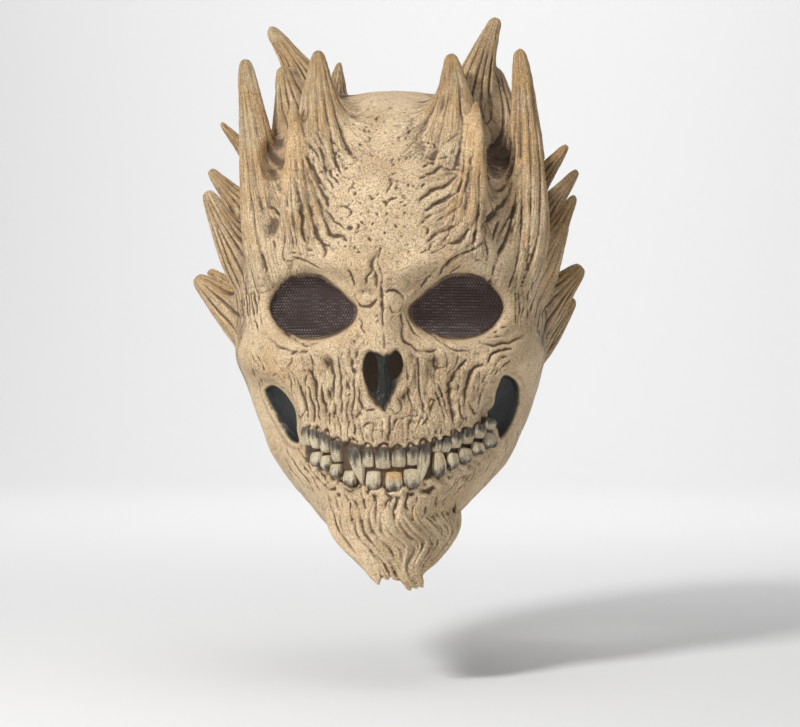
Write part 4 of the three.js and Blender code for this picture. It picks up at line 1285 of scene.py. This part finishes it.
def painted_material(name, finish, colours, roughness, grain_size, pits, bump):
    """Painted latex with grain, wash, stain and satin black parts."""
    material = bpy.data.materials.new(name)
    material.use_nodes = True
    nodes, links = material.node_tree.nodes, material.node_tree.links
    shader = nodes["Principled BSDF"]
    grain = nodes.new("ShaderNodeGroup")
    grain.node_tree = bpy.data.node_groups["Cast grain"]
    grain.inputs["Size"].default_value = grain_size
    grain.inputs["Pits"].default_value = pits
    paint = nodes.new("ShaderNodeGroup")
    paint.node_tree = bpy.data.node_groups["Bone paint"]
    for label, colour in zip(PAINTS, colours):
        paint.inputs[label].default_value = (*colour, 1.0)
    streaks = nodes.new("ShaderNodeGroup")
    streaks.node_tree = bpy.data.node_groups["Streaks"]
    links.new(attribute(nodes, "flow", "Vector"), streaks.inputs["Flow"])
    links.new(attribute(nodes, "streak"), streaks.inputs["Strength"])
    links.new(streaks.outputs["Lines"], paint.inputs["Lines"])
    links.new(attribute(nodes, "hollow"), paint.inputs["Hollow"])
    links.new(attribute(nodes, "stain"), paint.inputs["Stain"])
    for label in ("Cloud", "Speckle", "Grain"):
        links.new(grain.outputs[label], paint.inputs[label])
    black = attribute(nodes, "black")
    colour = mix_colour(nodes, links, black, paint.outputs["Colour"], finish.black)
    inside = attribute(nodes, "inside")
    colour = mix_colour(nodes, links, inside, colour, finish.lining)
    links.new(colour, shader.inputs["Base Color"])
    dull = maths(nodes, links, "MULTIPLY", grain.outputs["Cloud"], 0.25)
    dull = maths(nodes, links, "ADD", dull, roughness - 0.12)
    satin = maths(nodes, links, "MULTIPLY", black, -0.22)
    links.new(maths(nodes, links, "ADD", dull, satin), shader.inputs["Roughness"])
    shader.inputs["Specular IOR Level"].default_value = 0.38
    height = nodes.new("ShaderNodeBump")
    height.inputs["Strength"].default_value = bump
    height.inputs["Distance"].default_value = 0.0006
    relief = maths(nodes, links, "ADD", grain.outputs["Height"], streaks.outputs["Height"])
    links.new(relief, height.inputs["Height"])
    links.new(height.outputs["Normal"], shader.inputs["Normal"])
    return material


def net_material(finish, pitch):
    """Dark knitted net, lighter where its threads cross."""
    material = bpy.data.materials.new("knitted_net")
    material.use_nodes = True
    nodes, links = material.node_tree.nodes, material.node_tree.links
    shader = nodes["Principled BSDF"]
    where = nodes.new("ShaderNodeSeparateXYZ")
    links.new(nodes.new("ShaderNodeTexCoord").outputs["Object"], where.inputs[0])
    waves_across = []
    for axis, turns in (("X", math.tau), ("Z", math.pi)):
        phase = maths(nodes, links, "MULTIPLY", where.outputs[axis], turns / pitch)
        waves_across.append(maths(nodes, links, "COSINE", phase, 0))
    crossing = ramp(nodes, links, maths(nodes, links, "MULTIPLY", *waves_across), 0.25, 0.85)
    cloud = noise_node(nodes, links, nodes["Texture Coordinate"].outputs["Object"], 120.0, 3.0)
    crossing = maths(nodes, links, "MULTIPLY", crossing, ramp(nodes, links, cloud, 0.35, 0.6))
    colour = mix_colour(nodes, links, crossing, finish.net, finish.net_light)
    links.new(colour, shader.inputs["Base Color"])
    shader.inputs["Roughness"].default_value = 0.6
    shader.inputs["Sheen Weight"].default_value = 0.15
    return material


# Settings and operators


def size(name, text, default):
    return bpy.props.FloatProperty(name=name, description=text, default=default, min=0.0, unit="LENGTH")


def count(name, text, default):
    return bpy.props.IntProperty(name=name, description=text, default=default)


def colour(name, text, default):
    return bpy.props.FloatVectorProperty(
        name=name, description=text, default=default, size=3, subtype="COLOR", min=0, max=1
    )


class MaskShape(bpy.types.PropertyGroup):
    body_voxel: size("Body fineness", "Spacing of the points that the horns are blended in with", 0.0018)
    voxel: size(
        "Fineness", "Spacing of the points that the skin is carved with", 0.0008
    )
    beard_voxel: size(
        "Beard fineness", "Spacing of the points of the beard", 0.0007
    )
    skin_triangles: count("Skin triangles", "Most triangles in the skin", 325000)
    beard_triangles: count("Beard triangles", "Most triangles in the beard", 130000)
    split: size("Split", "Where the skin's front and back pieces meet, before the upright axis", 0.03)
    crease: size("Crease", "Creases deeper than this are filled where a horn meets the skull", 0.00003)
    seed: count("Seed", "Start of every random choice", 11)
    net_pitch: size("Net pitch", "Distance between the threads of the eye nets", 0.0018)
    net_thread: size("Net thread", "Thickness of a thread", 0.0008)
    net_depth: size("Net depth", "From the inside of the wall back to the eye nets", 0.0014)
    net_margin: size("Net margin", "How far an eye net runs past its opening", 0.005)
    net_width: size("Net width", "Width that an eye net is cut to", 0.082)
    net_height: size("Net height", "Height that an eye net is cut to", 0.054)


class MaskFinish(bpy.types.PropertyGroup):
    bone: colour("Bone", "Lit bone colour", (0.82, 0.62, 0.385))
    shade: colour("Shade", "Darker bone colour of the clouds", (0.6, 0.42, 0.235))
    # Deep: painted shade in the shallow hollows, and the darker grain
    deep_and_painted_shade: colour("Deep", "Brown of the shallow hollows", (0.3, 0.19, 0.105))
    # Wash: dark paint in the fine creases, and painted shade in the deepest hollows, behind the teeth and
    # on the openings' inner rims
    wash: colour("Wash", "Dark wash in the hollows", (0.07, 0.043, 0.028))
    root: colour("Root", "Dark root of the teeth", (0.062, 0.05, 0.042))
    ochre: colour("Ochre", "Stain of tips and ridges", (0.62, 0.33, 0.085))
    # Rubbed: pale paint on the ridges, partly a painted highlight, and the paler grain
    rubbed: colour("Rubbed", "Pale paint rubbed on the ridges", (0.92, 0.77, 0.53))
    black: colour("Black", "Satin black of the cheek gaps and the septum", (0.022, 0.024, 0.023))
    lining: colour("Lining", "Bare latex inside", (0.3, 0.23, 0.16))
    tooth: colour("Tooth", "Ivory of the teeth", (0.66, 0.57, 0.4))
    net: colour("Net", "Thread of the eye nets", (0.1, 0.066, 0.07))
    net_light: colour("Net highlight", "Lighter thread of the eye nets", (0.72, 0.6, 0.6))


class StageSettings(bpy.types.PropertyGroup):
    distance: size("Camera distance", "From the camera to the face", 1.3)
    yaw: bpy.props.FloatProperty(
        name="Camera yaw", description="Turn of the view to the mask's right",
        default=math.radians(3.5), subtype="ANGLE",
    )
    frame_width: size("Frame width", "Width of the view at the face", 0.496)
    aim_side: size("Aim aside", "From the mask's axis to the middle of the view, across it", 0.00434)
    aim_front: size("Aim in front", "From the mask's axis forward to where the distance is measured", 0.06)
    aim_drop: size("Aim drop", "From the crown down to the middle of the view", 0.1734)
    drop: size("Floor drop", "From the crown to the floor", 0.37)
    sweep: size("Sweep", "Radius of the backdrop's sweep up from the floor", 1.2)
    floor: colour("Floor", "Pale floor and backdrop", (0.9, 0.9, 0.9))


def light_from(name, place, target, width, power):
    """A square light at a place, pointed at a target."""
    data = bpy.data.lights.new(name, "AREA")
    data.size = width
    data.energy = power
    obj = bpy.data.objects.new(name, data)
    obj.location = place
    obj.rotation_euler = (Vector(target) - Vector(place)).to_track_quat("-Z", "Y").to_euler()
    bpy.context.scene.collection.objects.link(obj)


class MASK_OT_stage(bpy.types.Operator):
    """Set the camera, a pale floor with a sweep behind, and soft studio light"""

    bl_idname = "mask.stage"
    bl_label = "Stage"

    def execute(self, context):
        stage = context.scene.stage_settings
        turn = stage.yaw
        away = Vector((math.sin(turn), -math.cos(turn), 0))
        across = Vector((math.cos(turn), math.sin(turn), 0))
        camera = bpy.data.cameras.new("camera")
        camera.lens = SENSOR * stage.distance / stage.frame_width
        camera.sensor_width = SENSOR
        camera.clip_end = 30.0
        camera_object = bpy.data.objects.new("camera", camera)
        middle = across * stage.aim_side + away * stage.aim_front - Vector((0, 0, stage.aim_drop))
        camera_object.location = middle + away * stage.distance
        camera_object.rotation_euler = (math.pi / 2, 0, turn)
        context.scene.collection.objects.link(camera_object)
        context.scene.camera = camera_object

        bm = bmesh.new()
        level = -stage.drop
        sweep = stage.sweep
        turns = [math.pi / 2 * k / SWEEP_STEPS for k in range(SWEEP_STEPS + 1)]
        points = [(-FLOOR_FRONT, 0.0)]
        points += [(FLOOR_BACK + sweep * math.sin(a), sweep * (1 - math.cos(a))) for a in turns]
        points.append((FLOOR_BACK + sweep, BACKDROP_TOP))
        verts = [bm.verts.new((-FLOOR_HALF, y, level + z)) for y, z in points]
        edges = [bm.edges.new(pair) for pair in zip(verts, verts[1:])]
        made = bmesh.ops.extrude_edge_only(bm, edges=edges)
        far = [item for item in made["geom"] if isinstance(item, bmesh.types.BMVert)]
        bmesh.ops.translate(bm, verts=far, vec=(2 * FLOOR_HALF, 0, 0))
        bmesh.ops.recalc_face_normals(bm, faces=bm.faces)
        floor = mesh_object("floor", bm)
        shade_smooth(floor.data)
        material = bpy.data.materials.new("floor")
        material.use_nodes = True
        shader = material.node_tree.nodes["Principled BSDF"]
        shader.inputs["Base Color"].default_value = (*stage.floor, 1)
        shader.inputs["Roughness"].default_value = 0.8
        floor.data.materials.append(material)

        for light in LIGHTS:
            light_from(*light)
        world = bpy.data.worlds.new("studio")
        world.use_nodes = True
        background = world.node_tree.nodes["Background"]
        background.inputs["Color"].default_value = (1, 1, 1, 1)
        background.inputs["Strength"].default_value = WORLD_LIGHT
        context.scene.world = world
        context.scene.view_settings.view_transform = "Standard"
        return {"FINISHED"}


class MASK_OT_finishes(bpy.types.Operator):
    """Mix the paints and the net that the pieces take"""

    bl_idname = "mask.finishes"
    bl_label = "Finishes"

    def execute(self, context):
        finish = context.scene.mask_finish
        grain_group()
        streak_group()
        paint_group()
        skin = [finish.bone, finish.shade, finish.deep_and_painted_shade, finish.wash, finish.ochre, finish.rubbed]
        painted_material("aged_bone_latex", finish, skin, 0.6, 1.0, 0.7, 0.8)
        darker = [c * 0.7 for c in finish.tooth]
        teeth = [finish.tooth, darker, finish.root, finish.root, finish.ochre, finish.rubbed]
        painted_material("stained_teeth", finish, teeth, 0.5, 1.2, 0.12, 0.35)
        net_material(finish, context.scene.mask_shape.net_pitch)
        return {"FINISHED"}


def wrinkles(points, on_horn):
    """Fine creases all over the bone, upright on the upper jaw and none on the eyes' rims."""
    x, z = points[:, 0], points[:, 2]
    flat = np.stack([x, z], -1)
    eyes = np.minimum(outline_gap(flat, eye_outline(-1)), outline_gap(flat, eye_outline(1)))
    bare = smooth_step(eyes, 4 * MM, 11 * MM) * (1 - smooth_step(on_horn, 0.1, 0.6))
    bite = z - bite_line(x)
    bare = bare * np.maximum(smooth_step(bite, 12 * MM, 17 * MM), smooth_step(-bite, 9 * MM, 13 * MM))
    jaw = smooth_step(-z, 0.160, 0.175) * smooth_step(z, -0.232, -0.218)
    jaw = jaw * smooth_step(-np.abs(x), -0.066, -0.05)
    bent = points + soft_drift(points, 0.014, (21, 22, 23)) * 5 * MM
    upright = np.exp(-np.abs(soft_noise(bent * (1, 1, 0.26), 0.0068, 24)) / 0.16)
    upright += 0.45 * np.exp(-np.abs(soft_noise(bent * (1, 1, 0.3), 0.0038, 25)) / 0.14)
    rough = soft_noise(bent, 0.0075, 26) * 0.5 + soft_noise(bent, 0.0042, 28) * 0.3
    cracks = np.exp(-np.abs(soft_noise(bent, 0.011, 27)) / 0.07)
    rough += cracks * smooth_step(soft_noise(points, 0.021, 20), 0.0, 0.5) * 0.9
    pits = smooth_step(soft_noise(points, 0.0034, 29), 0.5, 0.8)
    return -bare * MM * (jaw * upright * 1.2 + (1 - jaw) * rough * 0.34 + pits * 0.28), jaw * bare


def gum_edges():
    """Levels of the gums' edges over the upper and under the lower teeth, at places across the mouth."""
    edges = []
    for teeth, inward in ((UPPER_TEETH, -0.12), (LOWER_TEETH, 0.12)):
        x = np.array([tooth[0] for tooth in teeth]) * MOUTH_HALF
        root = np.array([tooth[2] for tooth in teeth]) + inward
        edges.append((x, bite_line(x) + root * TOOTH_LENGTH))
    return edges


def carve_gums(carver, rng):
    """Scallop the gums over each tooth, with a point between teeth, and roughen the lower gum."""
    for teeth, (places, levels), up in zip((UPPER_TEETH, LOWER_TEETH), gum_edges(), (1, -1)):
        for tooth, x, gum in zip(teeth, places, levels):
            half = tooth[1] * TOOTH_WIDTH / 2
            foot, top = gum - up * 2.4 * MM, gum + up * 1.2 * MM
            arc = [(x - half, foot), (x, top), (x + half, foot)]
            carver.line(1.2, -1.8, [(a / MM, b / MM) for a, b in arc])
        for k in range(len(places) - 1):
            if places[k + 1] - places[k] < TOOTH_WIDTH:
                middle, level = places[k:k + 2].mean() / MM, levels[k:k + 2].mean() / MM
                ends = (level + up * 3, level, level - up * 3.4)
                carver.line(1.1, 1.5, [(middle, z) for z in ends])
    for _ in range(90):
        x = rng.uniform(-46, 60)
        under = float(bite_line(np.array(x * MM))) / MM - 11 - 9 * rng.random() ** 1.5
        wide = rng.uniform(1.1, 2.4)
        tall, turn = wide * rng.uniform(0.7, 1.3), rng.uniform(0, 90)
        carver.spot(x, under, wide, tall, turn, rng.choice((-1.0, 1.2)) * rng.uniform(0.4, 1))


def carve_face(skin, rng, on_horn):
    """Cut the face's lines, rows of lines and spots, and sink the eye rims and the cheek gaps."""
    carver = FrontCarver(skin)
    for spot in SPOTS:
        carver.spot(*spot)
    for half_width, depth, points in LINES:
        carver.line(half_width, depth, points)
    for count, half_width, depth, wander, first, last in COMBS:
        carver.comb(count, half_width, depth, wander, first, last, rng)
    for _ in range(150):
        x, z = rng.uniform(-34, 30), rng.uniform(-106, -16)
        if abs(x) > 30 + (z + 60) * 0.1:
            continue
        bend, run = rng.uniform(0, math.tau), rng.uniform(0.8, 2.4)
        turn = rng.uniform(-1.6, 1.6)
        angles = [bend + turn * s for s in (-1, 0, 1)]
        arc = [(x + run * math.cos(angle), z + run * math.sin(angle)) for angle in angles]
        carver.line(rng.uniform(0.6, 0.9), -rng.uniform(0.5, 1.1), arc)
    carve_gums(carver, rng)
    facing, flat = carver.facing, carver.flat
    creases, upright = wrinkles(skin.co[facing], on_horn[facing])
    carver.height[facing] += creases
    jaw = np.zeros(len(skin.co))
    jaw[facing] = upright
    for side in (-1, 1):
        gap = outline_gap(flat, eye_outline(side)) / MM
        roll = np.exp(-(((gap - 4.5) / 3.0) ** 2)) * 0.9
        carver.height[facing] += (roll - 3.4 * smooth_step(-gap, -2.2, 2.4)) * MM
    ragged = soft_noise(skin.co[facing], 0.0034, 32) * 0.9
    nose = outline_gap(flat, nose_outline(NOSE_OUTLINE)) / MM + ragged
    carver.height[facing] -= 3.0 * smooth_step(-nose, -0.8, 2.2) * MM
    black = np.zeros(len(skin.co))
    black[facing] = smooth_step(-nose, 0.6, 2.4) * 0.94
    for outline in (LEFT_GAP, RIGHT_GAP):
        gap = outline_gap(flat, closed_outline(np.array(outline) * MM, 60)) / MM
        lip = 0.7 * np.exp(-(((gap - 1.4) / 1.2) ** 2))
        carver.height[facing] -= (3.0 * smooth_step(-gap, -0.4, 3.0) - lip) * MM
        black[facing] = np.maximum(black[facing], smooth_step(-gap, -0.9, 0.6))
    carver.line(2.6, 2.4, ((0.4, -170), (0.6, -180), (0.5, -192), (0.4, -202)))
    for x in (-1.4, 0.4, 2.2):
        carver.line(0.6, -0.9, ((x, -171), (x + 0.3, -184), (x, -199)))
    skin.push(carver.height)
    return black, jaw


def finish_fields(skin, on_horn, tip_share, dusk):
    """Where the wash, the ochre and the pale rubbing go. The hollow field is dark wash in the fine creases
    and painted shade in the broad hollows, between the horns, behind the teeth and on the openings' inner
    rims; below zero it marks ridges, whose pale rubbing is partly a painted highlight.
    """
    fine = skin.hollowness(3) / (0.2 * MM)
    # Broad hollowness: painted shade over whole valleys, eye sockets and cheeks; the fine hollowness above
    # is the dark wash in the creases
    broad = skin.hollowness(24) / (1.0 * MM)
    uneven = 0.8 + 0.5 * soft_noise(skin.co, 0.005, 33)
    hollow = np.clip(0.85 * fine, -0.8, 1.1) + np.clip(0.75 * broad, -0.5, 0.48) * uneven
    hollow = skin.around(hollow) * 0.3 + hollow * 0.7
    # dusk holds the darkening of the side horns and the painted shade between the horns
    hollow = np.where(hollow > 0, hollow * (1 - 0.4 * on_horn), hollow) + 0.62 * dusk * uneven
    blotch = soft_noise(skin.co, 0.012, 5) * 0.5 + soft_noise(skin.co, 0.004, 6) * 0.3
    ridge = smooth_step(-hollow, 0.0, 0.6)
    stain = tip_share * (0.7 + 0.7 * blotch + 0.3 * ridge)
    stain += np.clip(on_horn, 0, 1) * (0.2 + 0.2 * ridge) * (1 + 1.5 * blotch)
    x, z = skin.co[:, 0] / MM, skin.co[:, 2] / MM
    front = skin.co[:, 1] < -0.02
    across, level = skin.co[:, 0], skin.co[:, 2]
    # Painted shade: the skin between the gum edges, behind and between the teeth, is darkened like the
    # deepest wash
    (upper_x, upper), (lower_x, lower) = gum_edges()
    mouth = smooth_step(np.interp(across, upper_x, upper) - level, -0.5 * MM, 1.0 * MM)
    mouth *= smooth_step(level - np.interp(across, lower_x, lower), -0.5 * MM, 1.0 * MM)
    mouth *= smooth_step(across, upper_x[0] - 4 * MM, upper_x[0] - 2 * MM)
    mouth *= smooth_step(-across, -upper_x[-1] - 4 * MM, -upper_x[-1] - 2 * MM)
    hollow = np.maximum(hollow, front * 1.05 * mouth)
    # Painted shade on the inner walls of the eye and nose openings
    flat = skin.co[:, (0, 2)]
    for outline in (eye_outline(-1), eye_outline(1), nose_outline(NOSE_OUTLINE)):
        near = front & (np.abs(flat - outline.mean(0)).max(1) < 0.04)
        rim = smooth_step(-outline_gap(flat[near], outline), -1.0 * MM, 1.6 * MM)
        hollow[near] = np.maximum(hollow[near], rim)
    cheek = np.exp(-((((x + 60) / 22) ** 2 + ((z + 178) / 9) ** 2))) * front
    other = np.exp(-((((x - 58) / 20) ** 2 + ((z + 172) / 6) ** 2))) * front
    stain += np.clip((0.55 * cheek + 0.4 * other) * (1 + blotch), 0, 1)
    stain += 0.2 * np.clip(blotch, 0, 1)
    return hollow, np.clip(stain, 0, 1) * 0.85


class MASK_OT_skin(bpy.types.Operator):
    """Cast the skull with its horns in one skin, carve it, hollow it and cut its openings"""

    bl_idname = "mask.skin"
    bl_label = "Skin"

    def execute(self, context):
        shape = context.scene.mask_shape
        rng = np.random.default_rng(shape.seed)
        bm = bmesh.new()
        add_head(bm, *HEAD_POINTS, 0.0)
        for horn in HORNS:
            add_horn(bm, horn, HORN_PROFILE, 0.0)
        for web in WEBS:
            add_web(bm, web)
        obj = mesh_object("mask_skin", bm)
        remesh(obj, shape.body_voxel)
        Skin(obj.data).fillet(FILLET_PASSES, shape.crease)
        remesh(obj, shape.voxel)
        skin = Skin(obj.data)
        skin.even_out(EVEN_PASSES)
        grain, on_horn, tip_share, dusk, flow, streak = horn_grain(skin, shape.seed)
        lumps = soft_noise(skin.co, 0.016, 1) * 0.5 + soft_noise(skin.co, 0.006, 2) * 0.3
        skin.push(grain + lumps * 0.5 * MM)
        black, jaw = carve_face(skin, rng, on_horn)
        plain_flow = streak[:, None] < jaw[:, None]
        flow = np.where(plain_flow, skin.co * (1, 1, 0.12), flow)
        streak = np.maximum(streak * 0.85, jaw * 0.5)
        fields = {"black": black, "flow": flow, "streak": streak}
        # Painted shade in the valleys between the horns, over the darkening of the side horns
        dusk = np.maximum(dusk, 0.8 * web_shade(skin))
        fields["hollow"], fields["stain"] = finish_fields(skin, on_horn, tip_share, dusk)
        thin_out(obj, shape.skin_triangles)
        for cutter in (hollow_cutter(skin), horn_cutter(), rim_cutter()):
            cut_away(obj, cutter)
        eyes = [eye_outline(side, -0.8 * MM) for side in (-1, 1)]
        nostrils = [nose_outline(NOSTRIL_OUTLINES[side], side) for side in (-1, 1)]
        cut_away(obj, front_cutter(eyes + nostrils))
        nearest = Nearest(skin.co)
        for name, side in (("mask_face", -1), ("mask_back", 1)):
            half = half_of(obj, name, -shape.split, side)
            points = points_of(half.data)
            rows, _ = nearest.find(points)
            for field, values in fields.items():
                store(half.data, field, values[rows])
            depth = ((skin.co[rows] - points) * skin.normal[rows]).sum(1)
            store(half.data, "inside", smooth_step(depth, 0.8 * MM, LEAST_WALL))
            shade_smooth(half.data)
            paint(half, "aged_bone_latex")
            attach(half, "root")
            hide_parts("mask_shell")
        bpy.data.objects.remove(obj)
        return {"FINISHED"}


class MASK_OT_beard(bpy.types.Operator):
    """Hang the beard of wavy strands on the chin"""

    bl_idname = "mask.beard"
    bl_label = "Beard"

    def execute(self, context):
        shape = context.scene.mask_shape
        rng = np.random.default_rng(shape.seed + 1)
        bm = bmesh.new()
        t = np.linspace(0, 1, STRAND_STEPS)
        at, wide = np.array(LOCK_PROFILE).T
        taper = np.interp(t, at, wide)
        for place in np.linspace(0.03, 0.97, BACKING_STRANDS):
            path = strand_path(place, STRAND_STEPS)
            path[:, 1] += BACKING_SINK * MM
            add_tube(bm, path, taper * BACKING_RADIUS * MM, 16, 0.8)
        for many, thin, thick, stand in STRANDS:
            for number in range(many):
                path = strand_path((number + 0.5 + rng.uniform(-0.3, 0.3)) / many, STRAND_STEPS)
                swing, phase = waves(rng, 2, 1.0, 2.4)
                sway = sum(np.sin(t * s * math.pi + p) for s, p in zip(swing, phase)) * 1.1 * MM
                path[:, 0] += sway * (1 - 0.6 * t)
                path[:, 1] += (stand + rng.uniform(-1.3, 1.3) + 5.0 * (1 - t) ** 6) * MM
                path[:, 2] += rng.uniform(-2.0, 6.0) * MM * (1 - t)
                ridges, start = int(rng.integers(3, 6)), rng.uniform(0, math.tau)
                add_tube(
                    bm, path, taper * rng.uniform(thin, thick) * MM, 20, 1.1,
                    lambda share, angle: 0.17 * np.sin(ridges * angle + start + 2.0 * share),
                )
        obj = mesh_object("mask_beard", bm)
        remesh(obj, shape.beard_voxel)
        skin = Skin(obj.data)
        skin.fillet(2, 0.00012)
        skin.push(soft_noise(skin.co, 0.003, 3) * 0.15 * MM)
        tip_share = smooth_step(-skin.co[:, 2], 0.286, 0.306)
        nothing = np.zeros(len(skin.co))
        hollow, stain = finish_fields(skin, nothing, tip_share * 0.8, nothing)
        thin_out(obj, shape.beard_triangles)
        cut_away(obj, hollow_cutter())
        rows, _ = Nearest(skin.co).find(points_of(obj.data))
        for name, values in (("hollow", hollow), ("stain", stain)):
            store(obj.data, name, values[rows])
        shade_smooth(obj.data)
        paint(obj, "aged_bone_latex")
        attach(obj, "root")
        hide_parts("mask_shell")
        return {"FINISHED"}


def add_tooth(bm, tooth, rng):
    """One ribbed tooth from its root in the gum to its biting end."""
    place, wide, root, end, point, lean, _ = tooth
    x = place * MOUTH_HALF
    length, width = abs(root - end) * TOOTH_LENGTH, wide * TOOTH_WIDTH
    bite = float(bite_line(np.array(x)))
    gum = bite + root * TOOTH_LENGTH
    down = 1.0 if end > root else -1.0
    across = np.array([x - 3 * MM, x, x + 3 * MM])
    skins = skin_points(across, np.full(3, bite))[:, 1]
    yaw = math.atan((skins[2] - skins[0]) / (6 * MM))
    width = width / math.cos(yaw) ** 0.8
    fang = point < 0.4
    ridges, phase = int(rng.integers(4, 7)), rng.uniform(0, math.tau)
    tilt = math.radians(-lean) * down

    def points_at(share, angle):
        grow = np.interp(share, (0, 0.12, 0.45, 0.8, 1.0), (0.75, 0.86, 1.0, 0.55 + 0.45 * point, point))
        close = np.clip(1 - ((share - 0.5) / 0.5) ** (6 if fang else 16), 0, 1) ** 0.5
        if fang:
            grow = grow * np.interp(share, (0.6, 1.0), (1.0, 0.5))
        sin, cos = np.sin(angle), np.cos(angle)
        side = np.sign(sin) * np.abs(sin) ** SQUARENESS * width / 2 * grow * close
        ripple = 1 + 0.14 * np.sin(ridges * 2 * angle + phase + share * 2) * (1 - 0.6 * share)
        depth = np.sign(cos) * np.abs(cos) ** 0.8 * TOOTH_DEPTH * MM * close * ripple
        depth = depth * np.interp(share, (0, 0.3, 1), (0.8, 1, 0.72))
        out = -depth - TOOTH_BELLY * MM * np.sin(share * math.pi)
        run = share * length * down
        turned_x = side * math.cos(tilt) - run * math.sin(tilt)
        turned_z = side * math.sin(tilt) + run * math.cos(tilt)
        return np.stack([
            x + turned_x * math.cos(yaw) - out * math.sin(yaw),
            skins[1] + 0.4 * MM + turned_x * math.sin(yaw) + out * math.cos(yaw),
            gum + turned_z,
        ], -1)

    shaped_sphere(bm, 48, 26, points_at)


class MASK_OT_teeth(bpy.types.Operator):
    """Set both rows of teeth in the gums"""

    bl_idname = "mask.teeth"
    bl_label = "Teeth"

    def execute(self, context):
        shape = context.scene.mask_shape
        rng = np.random.default_rng(shape.seed + 2)
        for name, teeth, wander, low, high in TOOTH_ROWS:
            bm = bmesh.new()
            stains, shares = [], []
            for tooth in teeth:
                before = len(bm.verts)
                add_tooth(bm, tooth, rng)
                bm.verts.ensure_lookup_table()
                levels = np.array([v.co.z for v in bm.verts[before:]])
                share = (levels - levels.min()) / np.ptp(levels)
                share = share if tooth[3] > tooth[2] else 1 - share
                shares.append(share)
                stains.append(tooth[-1] * smooth_step(share, 0.4, 0.8) + 0.08)
            obj = mesh_object(name, bm)
            share = np.concatenate(shares)
            co = points_of(obj.data)
            marks = soft_noise(co * (1, 1, 0.2), 0.0013, 7)
            dark = smooth_step(1 - share + wander * marks, low, high)
            store(obj.data, "hollow", np.clip(dark + 0.25 * marks - 0.12, -1, 1.1))
            store(obj.data, "stain", np.clip(np.concatenate(stains) + 0.15 * marks, 0, 1))
            store(obj.data, "flow", co * (1, 1, 0.08))
            store(obj.data, "streak", 0.85 * (1 - 0.6 * share))
            shade_smooth(obj.data)
            paint(obj, "stained_teeth")
            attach(obj, "root")
            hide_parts("mask_shell")
        return {"FINISHED"}


class MASK_OT_eye_nets(bpy.types.Operator):
    """Stretch a dark net behind each eye opening"""

    bl_idname = "mask.eye_nets"
    bl_label = "Eye nets"

    def execute(self, context):
        shape = context.scene.mask_shape
        for side, name in ((-1, "left"), (1, "right")):
            pitch = shape.net_pitch
            box = np.array(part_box(f"eye_mesh_{name}"))
            low, high = np.ceil(box[0] / pitch) * pitch, np.floor(box[1] / pitch) * pitch
            bm = bmesh.new()
            bmesh.ops.create_grid(
                bm,
                x_segments=round((high[0] - low[0]) / pitch),
                y_segments=round((high[2] - low[2]) / pitch),
                size=0.5,
            )
            flat = np.array([v.co for v in bm.verts])
            z = low[2] + (flat[:, 1] + 0.5) * (high[2] - low[2])
            x = low[0] + (flat[:, 0] + 0.5) * (high[0] - low[0]) + np.round(z / pitch) % 2 * pitch / 2
            places = skin_points(x, z, WALL + shape.net_depth)
            for vert, place in zip(bm.verts, places):
                vert.co = place
            gap = outline_gap(np.stack([x, z], -1), eye_outline(side, shape.net_margin))
            outside = [vert for vert, far in zip(list(bm.verts), gap) if far > 0]
            bmesh.ops.delete(bm, geom=outside, context="VERTS")
            bmesh.ops.recalc_face_normals(bm, faces=bm.faces)
            area = sum(face.calc_area() for face in bm.faces)
            obj = mesh_object(f"eye_net_{name}", bm)
            modifier = obj.modifiers.new("Threads", "WIREFRAME")
            modifier.thickness = shape.net_thread
            modifier.use_even_offset = False
            apply_modifiers(obj)
            paint(obj, "knitted_net")
            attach(obj, "root")
            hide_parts(f"eye_mesh_{name}")
        return {"FINISHED"}


class MASK_PT_panel(bpy.types.Panel):
    """Lists the mask's pieces in the sidebar"""

    bl_label = "Skull Mask"
    bl_space_type = "VIEW_3D"
    bl_region_type = "UI"
    bl_category = "Skull Mask"

    def draw(self, context):
        for group in (context.scene.mask_shape, context.scene.mask_finish, context.scene.stage_settings):
            box = self.layout.box()
            for name in group.bl_rna.properties.keys():
                if name not in ("rna_type", "name"):
                    box.prop(group, name)
        for operator in OPERATORS:
            self.layout.operator(operator.bl_idname)


GROUPS = ((MaskShape, "mask_shape"), (MaskFinish, "mask_finish"), (StageSettings, "stage_settings"))
OPERATORS = (
    MASK_OT_stage, MASK_OT_finishes, MASK_OT_skin, MASK_OT_beard, MASK_OT_teeth, MASK_OT_eye_nets,
)


def register():
    for group, name in GROUPS:
        bpy.utils.register_class(group)
        setattr(bpy.types.Scene, name, bpy.props.PointerProperty(type=group))
    for operator in OPERATORS:
        bpy.utils.register_class(operator)
    bpy.utils.register_class(MASK_PT_panel)


def unregister():
    bpy.utils.unregister_class(MASK_PT_panel)
    for operator in reversed(OPERATORS):
        bpy.utils.unregister_class(operator)
    for group, name in reversed(GROUPS):
        delattr(bpy.types.Scene, name)
        bpy.utils.unregister_class(group)


def main():
    register()
    bpy.ops.mask.stage()
    bpy.ops.mask.finishes()
    bpy.ops.mask.skin()
    bpy.ops.mask.beard()
    bpy.ops.mask.teeth()
    bpy.ops.mask.eye_nets()


if __name__ == "__main__":
    main()
